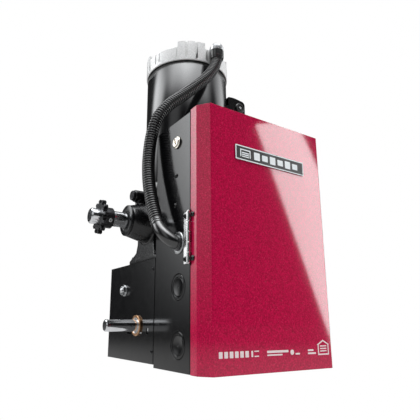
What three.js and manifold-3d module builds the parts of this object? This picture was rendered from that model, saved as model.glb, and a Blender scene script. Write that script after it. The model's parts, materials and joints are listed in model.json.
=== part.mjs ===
// Commercial gearhead door operator, in millimetres.
//
// The parts are laid out in the cabinet's own frame: X to the right from the cabinet's left side,
// Y back from the front of the cover towards the wall, Z up from the foot of the cover.
// The last lines shift the whole group so that the origin is the middle of the wall face.
import * as THREE from 'three';
import { mergeVertices } from 'three/addons/utils/BufferGeometryUtils.js';
import Module from 'manifold-3d';

const wasm = await Module();
wasm.setup();

// ---------------------------------------------------------------- driving dimensions

const SHEET = 2;               // folded sheet steel
const FIT = 0.4;               // clearance between pieces that meet
const CABINET_W = 252;

const COVER = { height: 380, depth: 33.1, chamferX: 13.4, chamferY: 17.7 };
const ENCLOSURE = { y0: 33.5, y1: 136.6, z0: 0.5, z1: 376.8, lip: 11 };
const HOUSING = { y0: 137, y1: 316.2, z0: 5.1, z1: 166.9 };
const HINGE = { x: -3.2, y: 33.2, z0: 146.6, z1: 220.9, knuckle: 2.9, pin: 1.3, leaf: 1.4, count: 5 };

const KNOCKOUT = { y: 65.4, upperZ: 116.4, lowerZ: 36.2, outer: 19, inner: 14.1 };
const JACK = { y: 70.6, z: 339.7, bore: 6.3 };
const GLAND = { y: 65, z: 180, bore: 11.2 };
const ELBOW = { radius: 10.4, collar: 12 };
const STUD = { y: 247.6, z: 122, radius: 4 };
const LATCH = { y: 25, z: 190, bore: 6.4 };

const MOTOR = { x: 116.2, y: 228, radius: 83.1, wall: 3, z0: 302.3, z1: 563.8, top: 606 };
const OUTPUT = { y: 180, z: 232.8, radius: 12.7, x0: -96.7, x1: 236 };
const FILLER = { z: OUTPUT.z + 45.4, x: -21, face: -25, plug: 8.6, boss: 10.5 };
const CAPACITOR_COVER = { x0: 190, x1: 234.5, y0: 179, y1: 233, z0: 414, z1: 535, corner: 9 };
const LOWER = { y: 195.5, z: 62, radius: 9.525, x0: -56.6, x1: 259 };

const WORM = { module: 2.25, teeth: 30, turns: 4, pitchRadius: 14.25, width: 18 };
const TRAIN = { module: 3, teeth: 16, x0: 29, width: 8 };
const CHAIN = { pitch: 12.7, x: 227, smallTeeth: 12, largeTeeth: 18, tooth: 5.5, roller: 3.96 };
const LIMIT = { thread: 4.8, nut: 15, nutWidth: 9, openX: 90, closeX: 150, ear0: 42, ear1: 205 };

// The conduit's centre line, from the motor's fitting to the elbow in the cabinet's side.
const CONDUIT_RADIUS = 10.6;
const CONDUIT_ROUTE = [
  [122, 128, 577], [121.6, 128, 566], [115, 127, 547], [97, 125.5, 519], [70, 124, 489.5],
  [46, 124, 465], [13, 126.5, 433], [-5.5, 130.5, 404], [-13, 134.5, 372], [-17, 134.2, 338.4],
  [-19.6, 129.6, 307.6], [-21.2, 120.9, 276.8], [-21.6, 107.4, 243.4], [-21.6, 99.6, 227.8],
  [-21.6, 93.2, 216.1],
];
const ELBOW_ROUTE = [
  [-21.6, 92.9, 215.5], [-21.2, 89, 208.8], [-20.4, 83.2, 201.2], [-18, 76.6, 193.6], [-13.6, 70.6, 186.8],
  [-8, 66.6, 182], [-2, GLAND.y, GLAND.z], [3, GLAND.y, GLAND.z], [8, GLAND.y, GLAND.z],
];

// ---------------------------------------------------------------- materials

const finish = (color, roughness, metalness) => () =>
  new THREE.MeshStandardMaterial({ color, roughness, metalness });

const redPaint = finish(0xa01038, 0.35, 0.4);
const blackPaint = finish(0x17181a, 0.5, 0.2);
const motorEnamel = finish(0x101113, 0.25, 0.3);
const castBlack = finish(0x141517, 0.55, 0.3);
const castAluminium = finish(0xb9bcbf, 0.5, 0.85);
const brightSteel = finish(0xd0d3d6, 0.15, 1);
const zincPlate = finish(0xc2c5c8, 0.35, 0.9);
const nickel = finish(0xcfcfcb, 0.2, 1);
const blackOxide = finish(0x1c1c1e, 0.45, 0.7);
const blackPlastic = finish(0x151517, 0.4, 0);
const greyPlastic = finish(0x8d9196, 0.5, 0);
const circuitGreen = finish(0x1d5a34, 0.45, 0);
const bronze = finish(0xb07a3c, 0.35, 0.9);
const lamination = finish(0x6c7076, 0.5, 0.7);
const ivoryPlastic = finish(0xd9d6c8, 0.45, 0);
const greenPlastic = finish(0x2c8a4a, 0.4, 0);
const redPlastic = finish(0xb3231f, 0.4, 0);

// ---------------------------------------------------------------- geometry helpers

function solid(geometry) {
  const bare = geometry.clone();
  bare.deleteAttribute('normal');
  bare.deleteAttribute('uv');
  const merged = mergeVertices(bare, 1e-4);
  const corners = merged.index.array;
  const kept = [];
  for (let i = 0; i < corners.length; i += 3) {
    const [a, b, c] = [corners[i], corners[i + 1], corners[i + 2]];
    if (a !== b && b !== c && c !== a) kept.push(a, b, c);
  }
  return new wasm.Manifold(new wasm.Mesh({
    numProp: 3,
    vertProperties: new Float32Array(merged.attributes.position.array),
    triVerts: new Uint32Array(kept),
  }));
}

function geometryOf(manifold) {
  const mesh = manifold.getMesh();
  const geometry = new THREE.BufferGeometry();
  geometry.setAttribute('position', new THREE.BufferAttribute(mesh.vertProperties, 3));
  geometry.setIndex(new THREE.BufferAttribute(mesh.triVerts, 1));
  geometry.computeVertexNormals();
  return geometry;
}

function join(...geometries) {
  return geometryOf(geometries.map(solid).reduce((whole, piece) => whole.add(piece)));
}

function cut(base, ...tools) {
  return geometryOf(tools.map(solid).reduce((whole, tool) => whole.subtract(tool), solid(base)));
}

function box(x0, x1, y0, y1, z0, z1) {
  const geometry = new THREE.BoxGeometry(x1 - x0, y1 - y0, z1 - z0);
  return geometry.translate((x0 + x1) / 2, (y0 + y1) / 2, (z0 + z1) / 2);
}

// A rod or a cone along X; the second radius is at x1.
function rodX(radius, x0, x1, y, z, sides = 24, endRadius = radius) {
  const geometry = new THREE.CylinderGeometry(endRadius, radius, x1 - x0, sides);
  return geometry.rotateZ(-Math.PI / 2).translate((x0 + x1) / 2, y, z);
}

function rodY(radius, y0, y1, x, z, sides = 24) {
  const geometry = new THREE.CylinderGeometry(radius, radius, y1 - y0, sides);
  return geometry.translate(x, (y0 + y1) / 2, z);
}

function rodZ(radius, z0, z1, x, y, sides = 24, endRadius = radius) {
  const geometry = new THREE.CylinderGeometry(endRadius, radius, z1 - z0, sides);
  return geometry.rotateX(Math.PI / 2).translate(x, y, (z0 + z1) / 2);
}

function outline(points) {
  return new THREE.Shape(points.map(([a, b]) => new THREE.Vector2(a, b)));
}

function extrude(shape, depth, curveSegments = 8) {
  return new THREE.ExtrudeGeometry(shape, { depth, bevelEnabled: false, curveSegments });
}

// Shapes drawn as (Y, Z), (X, Z) and (X, Y), swept along the third axis.
function plateX(shape, x0, x1) {
  return extrude(shape, x1 - x0).rotateX(Math.PI / 2).rotateZ(Math.PI / 2).translate(x0, 0, 0);
}

function plateY(shape, y0, y1) {
  return extrude(shape, y1 - y0).rotateX(Math.PI / 2).translate(0, y1, 0);
}

function plateZ(shape, z0, z1) {
  return extrude(shape, z1 - z0).translate(0, 0, z0);
}

// A turned piece about a line along Z: the profile is [radius, z] and closes on itself.
function turnedZ(profile, x, y, sides) {
  const points = [...profile, profile[0]].map(([r, z]) => new THREE.Vector2(r, z));
  return new THREE.LatheGeometry(points, sides).rotateX(Math.PI / 2).translate(x, y, 0);
}

function ringZ(inner, outer, z0, z1, x, y, sides = 24) {
  return turnedZ([[inner, z0], [outer, z0], [outer, z1], [inner, z1]], x, y, sides);
}

// A turned piece about a line along X: the profile is [radius, x].
function turnedX(profile, y, z, sides) {
  return turnedZ(profile, 0, 0, sides).rotateY(Math.PI / 2).translate(0, y, z);
}

function ringX(inner, outer, x0, x1, y, z, sides = 24) {
  return turnedX([[inner, x0], [outer, x0], [outer, x1], [inner, x1]], y, z, sides);
}

function tube(route, radius, sides, steps) {
  const path = new THREE.CatmullRomCurve3(route.map((p) => new THREE.Vector3(...p)), false, 'centripetal');
  const section = outline(Array.from({ length: sides }, (_, i) => {
    const angle = (i / sides) * 2 * Math.PI;
    return [radius * Math.cos(angle), radius * Math.sin(angle)];
  }));
  return new THREE.ExtrudeGeometry(section, { extrudePath: path, steps, bevelEnabled: false });
}

// ---------------------------------------------------------------- toothed outlines

const polar = (radius, angle) => [radius * Math.cos(angle), radius * Math.sin(angle)];

// Involute spur-gear outline. The first tooth points along the first axis, turned by `phase`.
function gearOutline(teeth, module, backlash, phase = 0, flankSteps = [0, 0.5, 1]) {
  const pressure = THREE.MathUtils.degToRad(20);
  const pitch = (module * teeth) / 2;
  const base = pitch * Math.cos(pressure);
  const tip = pitch + 0.9 * module;
  const root = pitch - 1.2 * module;
  const involute = (radius) => {
    const slope = Math.sqrt(Math.max(0, (radius / base) ** 2 - 1));
    return slope - Math.atan(slope);
  };
  const halfTooth = Math.PI / (2 * teeth) - backlash / (2 * pitch);
  const start = Math.max(base, root);
  const points = [];
  for (let tooth = 0; tooth < teeth; tooth += 1) {
    const middle = phase + (tooth * 2 * Math.PI) / teeth;
    const flank = flankSteps.map((t) => {
      const radius = start + (tip - start) * t;
      return [radius, halfTooth + involute(pitch) - involute(radius)];
    });
    points.push(polar(root, middle - flank[0][1] - 0.02));
    flank.forEach(([radius, half]) => points.push(polar(radius, middle - half)));
    flank.reverse().forEach(([radius, half]) => points.push(polar(radius, middle + half)));
    points.push(polar(root, middle + flank[flank.length - 1][1] + 0.02));
  }
  return outline(points);
}

// Roller-chain sprocket outline with the first tooth along the first axis.
function sprocketOutline(teeth) {
  const pitchRadius = CHAIN.pitch / (2 * Math.sin(Math.PI / teeth));
  const seat = pitchRadius - CHAIN.roller;
  const tip = pitchRadius + 0.29 * CHAIN.pitch;
  const pitchAngle = (2 * Math.PI) / teeth;
  const tooth = [[0.16, tip], [0.187, pitchRadius], [0.26, pitchRadius - 0.7 * CHAIN.roller], [0.5, seat]];
  const points = [];
  for (let i = 0; i < teeth; i += 1) {
    const middle = i * pitchAngle;
    [...tooth].reverse().slice(1).forEach(([t, r]) => points.push(polar(r, middle - t * pitchAngle)));
    tooth.forEach(([t, r]) => points.push(polar(r, middle + t * pitchAngle)));
  }
  return outline(points);
}

// Radius of a bore with `sides` flats that leaves a shaft of this radius free to turn.
function running(radius, sides = 20) {
  return (radius + 0.3) / Math.cos(Math.PI / sides);
}

function withBore(shape, radius) {
  const hole = new THREE.Path();
  hole.absarc(0, 0, radius, 0, 2 * Math.PI, true);
  shape.holes.push(hole);
  return shape;
}

function sprocket(teeth, bore, x0, x1, y, z, hubRadius, hubEnd) {
  const plate = extrude(withBore(sprocketOutline(teeth), bore), x1 - x0, 10);
  const placed = plate.rotateX(Math.PI / 2).rotateZ(Math.PI / 2).translate(x0, y, z);
  const [hub0, hub1] = hubEnd > x1 ? [x1 - 0.5, hubEnd] : [hubEnd, x0 + 0.5];
  return join(placed, ringX(bore, hubRadius, hub0, hub1, y, z, 20));
}

function trainGear(y, phase, bore) {
  const shape = withBore(gearOutline(TRAIN.teeth, TRAIN.module, 0.5, phase), bore);
  const gear = extrude(shape, TRAIN.width, 10);
  return gear.rotateX(Math.PI / 2).rotateZ(Math.PI / 2).translate(TRAIN.x0, y, LOWER.z);
}

// ---------------------------------------------------------------- the model

const group = new THREE.Group();

function add(name, geometry, material) {
  const mesh = new THREE.Mesh(geometry, material());
  mesh.name = name;
  group.add(mesh);
}

// The limit shaft and the idler lie in line with the lower shaft, two pitch diameters apart.
const trainPitch = TRAIN.module * TRAIN.teeth;
const idlerY = LOWER.y - trainPitch;
const limitY = LOWER.y - 2 * trainPitch;

function enclosureBox() {
  const { y0, y1, z0, z1, lip } = ENCLOSURE;
  const shell = box(0, CABINET_W, y0, y1, z0, z1);
  const inside = box(SHEET, CABINET_W - SHEET, y0 + SHEET, y1 - SHEET, z0 + SHEET, z1 - SHEET);
  const mouth = box(lip, CABINET_W - lip, y0 - 1, y0 + SHEET + 1, z0 + lip, z1 - lip);
  const hole = (radius, y, z) => rodX(radius, -1, SHEET + 1, y, z, 18);
  const gearSlot = box(TRAIN.x0 - 3, TRAIN.x0 + TRAIN.width + 3, y1 - SHEET - 1, y1 + 1,
    LOWER.z - 27, LOWER.z + 27);
  const latchNotch = box(CABINET_W - lip - 1, CABINET_W - SHEET, y0 - 1, y0 + SHEET + 1, LATCH.z - 20, LATCH.z + 5);
  return cut(shell, inside, mouth, gearSlot, latchNotch,
    hole(KNOCKOUT.outer + 0.3, KNOCKOUT.y, KNOCKOUT.upperZ),
    hole(KNOCKOUT.outer + 0.3, KNOCKOUT.y, KNOCKOUT.lowerZ),
    hole(JACK.bore, JACK.y, JACK.z),
    hole(GLAND.bore, GLAND.y, GLAND.z));
}

function knockout(z) {
  const { outer, inner } = KNOCKOUT;
  const groove = 0.7;
  const profile = [
    [0, 0], [inner - 1, 0], [inner, groove], [inner + 1, 0], [outer, 0], [outer, SHEET], [0, SHEET],
  ];
  return turnedX(profile, KNOCKOUT.y, z, 18);
}

function antennaJack() {
  const { y, z } = JACK;
  const body = join(rodX(5.9, -2, 7, y, z, 20), rodX(9.8, -2.6, -0.4, y, z, 24), rodX(7.6, -4.6, -2.2, y, z, 24));
  return cut(body, rodX(2.6, -7, -2.5, y, z, 16));
}

// Hinge leaves share one row of knuckles; `first` is 0 for the cabinet's leaf, 1 for the cover's.
function knuckles(first) {
  const pitch = (HINGE.z1 - HINGE.z0) / HINGE.count;
  const rings = [];
  for (let i = first; i < HINGE.count; i += 2) {
    const z = HINGE.z0 + i * pitch;
    rings.push([z + 0.2, z + pitch - 0.2]);
  }
  return rings;
}

function hingeLeafBox() {
  const { x, y, z0, z1, knuckle, pin, leaf } = HINGE;
  const plate = box(-0.3 - leaf, -0.3, y + 3.6, 48.1, z0, z1);
  const tabs = knuckles(0).flatMap(([a, b]) => [
    box(-0.3 - leaf, -0.3, y, y + 4, a, b),
    rodZ(knuckle, a, b, x, y, 10),
  ]);
  return join(plate, ...tabs, rodZ(pin, z0 - 1.5, z1 + 1.5, x, y, 8));
}

function hingeLeafCover() {
  const { x, y, z0, z1, knuckle, pin, leaf } = HINGE;
  const inner = SHEET + 0.3;
  const plate = box(inner, inner + leaf, 19, y - 0.3, z0, z1);
  const tabs = knuckles(1).flatMap(([a, b]) => [
    box(x, inner + 0.5, y - 0.3 - leaf, y - 0.3, a, b),
    rodZ(knuckle, a, b, x, y, 10),
  ]);
  return cut(join(plate, ...tabs), rodZ(pin + 0.4, z0 - 3, z1 + 3, x, y, 8));
}

function coverSection(inset, back) {
  const { depth, chamferX, chamferY } = COVER;
  const slant = inset * 0.45;
  const w = CABINET_W;
  return outline([
    [inset, depth + back], [inset, chamferY + slant], [chamferX + slant, inset],
    [w - chamferX - slant, inset], [w - inset, chamferY + slant], [w - inset, depth + back],
  ]);
}

function frontCover() {
  const { depth, height } = COVER;
  const skin = plateZ(coverSection(0, 0), 0, height);
  const inside = plateZ(coverSection(SHEET, 1), SHEET, height - SHEET);
  const hingeNotch = box(-1, SHEET + 2.4, depth - 2.2, depth + 1, HINGE.z0 - 2.5, HINGE.z1 + 2.5);
  const latchHole = rodX(LATCH.bore, CABINET_W - SHEET - 1, CABINET_W + 1, LATCH.y, LATCH.z, 20);
  return cut(skin, inside, hingeNotch, latchHole);
}

function badgePlate() {
  return box(56.5, 199, -1.9, -0.4, 302.2, 325.1);
}

// Quarter-turn latch in the cover's right flank. Its hook reaches through a notch in the cabinet's
// front lip and turns up behind it.
function coverLatch() {
  const { y, z } = LATCH;
  const x = CABINET_W;
  const head = cut(rodX(8.5, x + FIT, x + 3.4, y, z, 20), box(x + 2, x + 4, y - 0.9, y + 0.9, z - 7, z + 7));
  const hook = plateX(outline([
    [y - 4, z - 3.5], [y + 17, z - 3.5], [y + 17, z + 9], [y + 12, z + 9], [y + 12, z + 3.5], [y - 4, z + 3.5],
  ]), x - 8, x - 6);
  return join(head, rodX(6, x - 8, x + 0.6, y, z, 20), hook);
}

// ------------------------------------------------------------ controls inside the cabinet

const PANEL_Y = 132.3;         // front face of the mounting panel
const BOARD_Y = 121;           // front face of the circuit board

function mountingPanel() {
  const posts = [[36, 194], [146, 194], [36, 344], [146, 344]];
  return join(box(22, 230, PANEL_Y, PANEL_Y + SHEET, 112, 362),
    ...posts.map(([x, z]) => rodY(3.5, BOARD_Y + 2, PANEL_Y + 0.5, x, z, 12)));
}

function terminalRow(x0, x1, z0, z1, y0, y1, count) {
  const pitch = (x1 - x0) / count;
  const slots = Array.from({ length: count }, (_, i) => {
    const x = x0 + (i + 0.5) * pitch;
    return box(x - 0.32 * pitch, x + 0.32 * pitch, y0 - 1, y0 + 4, z0 + 3, z1 - 3);
  });
  return cut(box(x0, x1, y0, y1, z0, z1), ...slots);
}

const BUTTON_X = [48, 70, 92];
const BUTTON_Z = 330;

function keypadHousing() {
  const bores = BUTTON_X.map((x) => rodY(6.4, BOARD_Y - 12, BOARD_Y + 1, x, BUTTON_Z, 20));
  return cut(box(38, 102, BOARD_Y - 8, BOARD_Y - FIT, BUTTON_Z - 10, BUTTON_Z + 10), ...bores);
}

function selectorDial() {
  const x = 127;
  const cap = rodY(9, BOARD_Y - 10, BOARD_Y - 3, x, BUTTON_Z, 24);
  const skirt = rodY(11, BOARD_Y - 3.5, BOARD_Y - FIT, x, BUTTON_Z, 24);
  const groove = box(x - 0.9, x + 0.9, BOARD_Y - 11, BOARD_Y - 9, BUTTON_Z, BUTTON_Z + 10);
  return cut(join(cap, skirt), groove);
}

function transformer() {
  const back = PANEL_Y - FIT;
  return join(box(166, 226, 92, 122, 290, 334), box(178, 214, 84, back, 282, 342),
    box(162, 230, back - 2, back, 305, 319), box(196 - 20, 196 + 20, 120, back, 295, 329));
}

function contactor() {
  const back = PANEL_Y - FIT;
  return join(box(168, 224, 92, back, 196, 262), box(174, 218, 74, 94, 206, 252),
    box(186, 206, 70, 76, 220, 238));
}

// ------------------------------------------------------------ limit assembly

function limitBracket() {
  const { ear0, ear1, thread } = LIMIT;
  const floor = box(ear0, ear1, limitY - 24, ENCLOSURE.y1 - SHEET - FIT, 29, 31);
  const ear = (x) => box(x, x + SHEET, limitY - 16, limitY + 16, 29, 96);
  const plateSlot = box(ear0 - 1, ear1 + 1, limitY - 1.5, limitY + 1.5, 73.4, 97);
  const bore = rodX(thread + 0.4, ear0 - 1, ear1 + 1, limitY, LOWER.z, 20);
  return cut(join(floor, ear(ear0), ear(ear1 - SHEET)), plateSlot, bore);
}

// The limit gear is pinned to its shaft and made as one piece with it.
function limitShaft() {
  const gear = trainGear(limitY, 0, 3);
  return join(rodX(LIMIT.thread, TRAIN.x0 - 5, LIMIT.ear1 + 7, limitY, LOWER.z, 20), gear);
}

function limitNut(x) {
  const half = LIMIT.nutWidth / 2;
  const slots = 8;
  const disc = cut(rodX(LIMIT.nut, x - half, x + half, limitY, LOWER.z, 24),
    rodX(LIMIT.thread + 0.35, x - half - 1, x + half + 1, limitY, LOWER.z, 20));
  const tools = Array.from({ length: slots }, (_, i) => {
    const slot = box(x - half - 1, x + half + 1, -1.6, 1.6, LIMIT.nut - 3.6, LIMIT.nut + 2);
    return slot.rotateX((i * 2 * Math.PI) / slots).translate(0, limitY, LOWER.z);
  });
  return cut(disc, ...tools);
}

function limitPlate() {
  const { ear0, ear1 } = LIMIT;
  return join(box(ear0 - 2, ear1 + 2, limitY - 1, limitY + 1, 74.2, 92),
    box(ear0 + 8, ear1 - 8, limitY - 1, limitY + 10, 90, 92));
}

// `side` is -1 for the switch left of the nuts and 1 for the one on the right.
function switchX(side) {
  const travelEnd = side < 0 ? LIMIT.openX - 16.2 : LIMIT.closeX + 16.2;
  return travelEnd + side * (LIMIT.nutWidth / 2 + 1.8);
}

function limitSwitch(side) {
  const x = switchX(side) + side * 9.5;
  return box(x - 7.5, x + 7.5, limitY - 14, limitY + 14, 31.4, 43.5);
}

function switchLever(side) {
  const x = switchX(side);
  return join(box(x - 0.5, x + 0.5, limitY - 5, limitY + 5, 44.5, 56), rodY(1.4, limitY - 5, limitY + 5, x, 44.5, 10));
}

// ------------------------------------------------------------ lower drive housing

function driveHousing() {
  const { y0, y1, z0, z1 } = HOUSING;
  const shell = box(0, CABINET_W, y0, y1, z0, z1);
  const inside = box(SHEET, CABINET_W - SHEET, y0 + SHEET, y1 - SHEET, z0 - 1, z1 - SHEET);
  const gearSlot = box(TRAIN.x0 - 3, TRAIN.x0 + TRAIN.width + 3, y0 - 1, y0 + SHEET + 1,
    LOWER.z - 27, LOWER.z + 27);
  const chainSlot = box(218, 236, 146, 231, z1 - SHEET - 1, z1 + 1);
  const shaftHoles = rodX(13.8, -1, CABINET_W + 1, LOWER.y, LOWER.z, 20);
  const longSlot = box(-1, SHEET + 1, 177, 237, 48.4, 51);
  const shortSlot = box(-1, SHEET + 1, 155.5, 160.5, 48.3, 58.6);
  const studHole = rodX(STUD.radius + 0.4, -1, SHEET + 1, STUD.y, STUD.z, 16);
  const body = cut(shell, inside, gearSlot, chainSlot, shaftHoles, longSlot, shortSlot, studHole);
  const idlerPin = join(rodX(4.8, SHEET - 0.5, TRAIN.x0 + TRAIN.width + 6, idlerY, LOWER.z, 16),
    rodX(8, SHEET - 0.5, TRAIN.x0 - 4, idlerY, LOWER.z, 16));
  return join(body, idlerPin);
}

function lowerBearing(side) {
  const wall = side < 0 ? 0 : CABINET_W;
  const bore = running(LOWER.radius);
  const at = (distance) => wall + side * distance;
  const profile = [
    [bore, at(3.2)], [16.8, at(3.2)], [16.8, at(FIT)], [13.2, at(FIT)], [13.2, at(-8)], [bore, at(-8)],
  ];
  return turnedX(side < 0 ? profile : profile.reverse(), LOWER.y, LOWER.z, 20);
}

function lowerShaft() {
  const { x0, x1, y, z, radius } = LOWER;
  const shaft = join(rodX(radius, x0 + 1.5, x1, y, z, 24), rodX(radius - 1.5, x0, x0 + 1.6, y, z, 24, radius));
  return cut(shaft, box(x0 + 4, x0 + 34, y - 2.4, y + 2.4, z + radius - 2.6, z + radius + 1));
}

function sideStud() {
  const { y, z, radius } = STUD;
  return join(rodX(radius, -9, 22, y, z, 12), rodX(8.6, -7, -1.6, y, z, 6), rodX(10, -1.7, -0.4, y, z, 16),
    rodX(9, SHEET + FIT, 8, y, z, 6));
}

// ------------------------------------------------------------ chain drive at the right

const pitchRadiusOf = (teeth) => CHAIN.pitch / (2 * Math.sin(Math.PI / teeth));
const SMALL = { y: OUTPUT.y, z: OUTPUT.z, radius: pitchRadiusOf(CHAIN.smallTeeth) };
const LARGE = { y: LOWER.y, z: LOWER.z, radius: pitchRadiusOf(CHAIN.largeTeeth) };

// Angle of the direction from the large sprocket to the small one, and the tangent's lean.
const centreAngle = Math.atan2(SMALL.z - LARGE.z, SMALL.y - LARGE.y);
const centreDistance = Math.hypot(SMALL.z - LARGE.z, SMALL.y - LARGE.y);
const tangentLean = Math.asin((LARGE.radius - SMALL.radius) / centreDistance);

function chainLoop(offset) {
  const shape = new THREE.Shape();
  const open = Math.PI / 2 - tangentLean;
  shape.absarc(SMALL.y, SMALL.z, SMALL.radius + offset, centreAngle - open, centreAngle + open, false);
  shape.absarc(LARGE.y, LARGE.z, LARGE.radius + offset, centreAngle + open, centreAngle - open + 2 * Math.PI, false);
  return shape;
}

function chainBand(x0, x1) {
  const shape = chainLoop(4.6);
  shape.holes.push(new THREE.Path(chainLoop(-4.2).getPoints(5).reverse()));
  return extrude(shape, x1 - x0, 5).rotateX(Math.PI / 2).rotateZ(Math.PI / 2).translate(x0, 0, 0);
}

// Rollers stand on the two straight runs only, clear of the teeth that turn between the bands.
function rollerChain() {
  const bands = [chainBand(CHAIN.x - 4.7, CHAIN.x - 3.5), chainBand(CHAIN.x + 3.5, CHAIN.x + 4.7)];
  const rollers = [];
  for (const side of [-1, 1]) {
    const angle = centreAngle + side * (Math.PI / 2 - tangentLean);
    const start = [LARGE.y + LARGE.radius * Math.cos(angle), LARGE.z + LARGE.radius * Math.sin(angle)];
    const end = [SMALL.y + SMALL.radius * Math.cos(angle), SMALL.z + SMALL.radius * Math.sin(angle)];
    const run = Math.hypot(end[0] - start[0], end[1] - start[1]);
    const links = Math.floor((run - 50) / CHAIN.pitch);
    for (let i = 0; i <= links; i += 1) {
      const t = (27 + i * CHAIN.pitch) / run;
      const y = start[0] + (end[0] - start[0]) * t;
      const z = start[1] + (end[1] - start[1]) * t;
      rollers.push(rodX(3.4, CHAIN.x - 4, CHAIN.x + 4, y, z, 6));
    }
  }
  return join(...bands, ...rollers);
}

function chainGuard() {
  const top = (radius, foot, low) => {
    const shape = new THREE.Shape();
    shape.moveTo(OUTPUT.y - radius, low);
    shape.lineTo(foot, low);
    shape.absarc(OUTPUT.y, OUTPUT.z, radius, 0.05 * Math.PI, Math.PI, false);
    return shape;
  };
  const low = HOUSING.z1 + FIT;
  return cut(plateX(top(38, 236, low), 212, 244), plateX(top(36, 234, low - 1), 214, 242),
    rodX(OUTPUT.radius + 1.2, 211, 215, OUTPUT.y, OUTPUT.z, 28));
}

// ------------------------------------------------------------ worm gearbox

const BARREL = 41.4;

function gearboxHousing() {
  const { y, z } = OUTPUT;
  const foot = box(4, 206, 142, 245, HOUSING.z1 + FIT, 175);
  const neck = plateX(outline([
    [146, 174], [243, 174], [229, 177], [218, 182.5], [212, 192], [211, z], [152, z], [152, 198], [150, 184],
  ]), 5, 140);
  const cone = rodX(26.5, -34, 32, y, z, 28, BARREL);
  const barrel = rodX(BARREL, 31.5, 142, y, z, 28);
  const wormCase = rodZ(25, 184, 292, MOTOR.x, MOTOR.y, 20);
  const flange = rodZ(74, 283, 292, MOTOR.x, MOTOR.y, 36);
  const riser = rodZ(8, z + 20, FILLER.z, -9, y, 12);
  const fillerBoss = rodX(FILLER.boss, FILLER.x, 5, y, FILLER.z, 20);
  const body = join(foot, neck, cone, barrel, wormCase, flange, riser, fillerBoss);
  return cut(body,
    rodX(OUTPUT.radius + 0.6, -35, 143, y, z, 24),
    rodX(38, 101, 143, y, z, 28),
    rodZ(18.2, 197, 293, MOTOR.x, MOTOR.y, 20),
    rodZ(8.8, 188, 198, MOTOR.x, MOTOR.y, 16));
}

function gearboxCover() {
  const { y, z } = OUTPUT;
  const body = join(rodX(BARREL, 142.4, 151, y, z, 28), rodX(37, 150.5, 198, y, z, 28, 24));
  return cut(body, rodX(OUTPUT.radius + 0.6, 141, 199, y, z, 24), rodX(30, 141, 148, y, z, 24));
}

function fillerPlug() {
  const { x, z, plug, face } = FILLER;
  return cut(rodX(plug, face, x - FIT, OUTPUT.y, z, 24),
    box(face - 1, face + 1.8, OUTPUT.y - 1.3, OUTPUT.y + 1.3, z - 5.5, z + 5.5));
}

function outputShaft() {
  const { x0, x1, y, z, radius } = OUTPUT;
  const shaft = join(rodX(radius - 2.2, x0, x0 + 2.3, y, z, 24, radius), rodX(radius, x0 + 2.2, x1, y, z, 24));
  const keyway = box(x0 + 8, x0 + 44, y - 3.2, y + 3.2, z - radius - 1, z - radius + 3.2);
  return cut(shaft, keyway);
}

// The wheel's teeth follow the worm's lead across its face.
const wheelRadius = (WORM.module * WORM.teeth) / 2;
const wormLead = Math.PI * WORM.module;
const leadSlope = wormLead / (2 * Math.PI * WORM.pitchRadius);

function wormWheel() {
  const shape = withBore(gearOutline(WORM.teeth, WORM.module, 0.9, 0, [0, 1]), running(OUTPUT.radius));
  const wheel = new THREE.ExtrudeGeometry(shape, {
    depth: WORM.width, steps: 2, bevelEnabled: false, curveSegments: 10,
  });
  const position = wheel.attributes.position;
  for (let i = 0; i < position.count; i += 1) {
    const across = position.getZ(i) - WORM.width / 2;
    const turned = polar(1, (across * leadSlope) / wheelRadius);
    const [a, b] = [position.getX(i), position.getY(i)];
    position.setXY(i, a * turned[0] - b * turned[1], a * turned[1] + b * turned[0]);
  }
  wheel.rotateX(Math.PI / 2).rotateZ(Math.PI / 2);
  return wheel.translate(MOTOR.x - WORM.width / 2, OUTPUT.y, OUTPUT.z);
}

// A single-start worm is one transverse outline, turned once per lead as it rises. The groove that
// faces the wheel at rest is centred on the wheel's axis, where its first tooth stands.
function wormBody() {
  const { module, pitchRadius, turns } = WORM;
  const [tip, root] = [pitchRadius + 0.85 * module, pitchRadius - 1.2 * module];
  const halfThread = (Math.PI * module) / 4 - 0.25;
  const slope = Math.tan(THREE.MathUtils.degToRad(20));
  const halfAngle = (radius) => ((halfThread - (radius - pitchRadius) * slope) * 2 * Math.PI) / wormLead;
  const flank = [tip, (2 * tip + root) / 3, (tip + 2 * root) / 3, root];
  const groove = [0.25, 0.5, 0.75].map((t) => [root, halfAngle(root) + t * 2 * (Math.PI - halfAngle(root))]);
  const section = outline([
    [tip, 0], ...flank.map((radius) => [radius, halfAngle(radius)]), ...groove,
    ...flank.map((radius) => [radius, -halfAngle(radius)]).reverse(),
  ].map(([radius, angle]) => polar(radius, angle)));
  const length = turns * wormLead;
  const worm = new THREE.ExtrudeGeometry(section, { depth: length, steps: turns * 10, bevelEnabled: false });
  const facingAway = Math.PI / 2;
  const position = worm.attributes.position;
  for (let i = 0; i < position.count; i += 1) {
    const z = position.getZ(i) - length / 2;
    const turned = polar(1, facingAway + (2 * Math.PI * z) / wormLead);
    const [a, b] = [position.getX(i), position.getY(i)];
    position.setXYZ(i, a * turned[0] - b * turned[1], a * turned[1] + b * turned[0], z);
  }
  return worm.translate(MOTOR.x, MOTOR.y, OUTPUT.z);
}

function motorShaft() {
  const { x, y } = MOTOR;
  return join(rodZ(8, 190, 592, x, y, 20), rodZ(10, 206, 264, x, y, 20), wormBody());
}

// ------------------------------------------------------------ motor

function motorFlange() {
  const { x, y, radius } = MOTOR;
  const profile = [
    [9, 292.4], [74, 292.4], [radius, 297], [radius, 301.9], [9, 299],
  ];
  return turnedZ(profile, x, y, 32);
}

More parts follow.
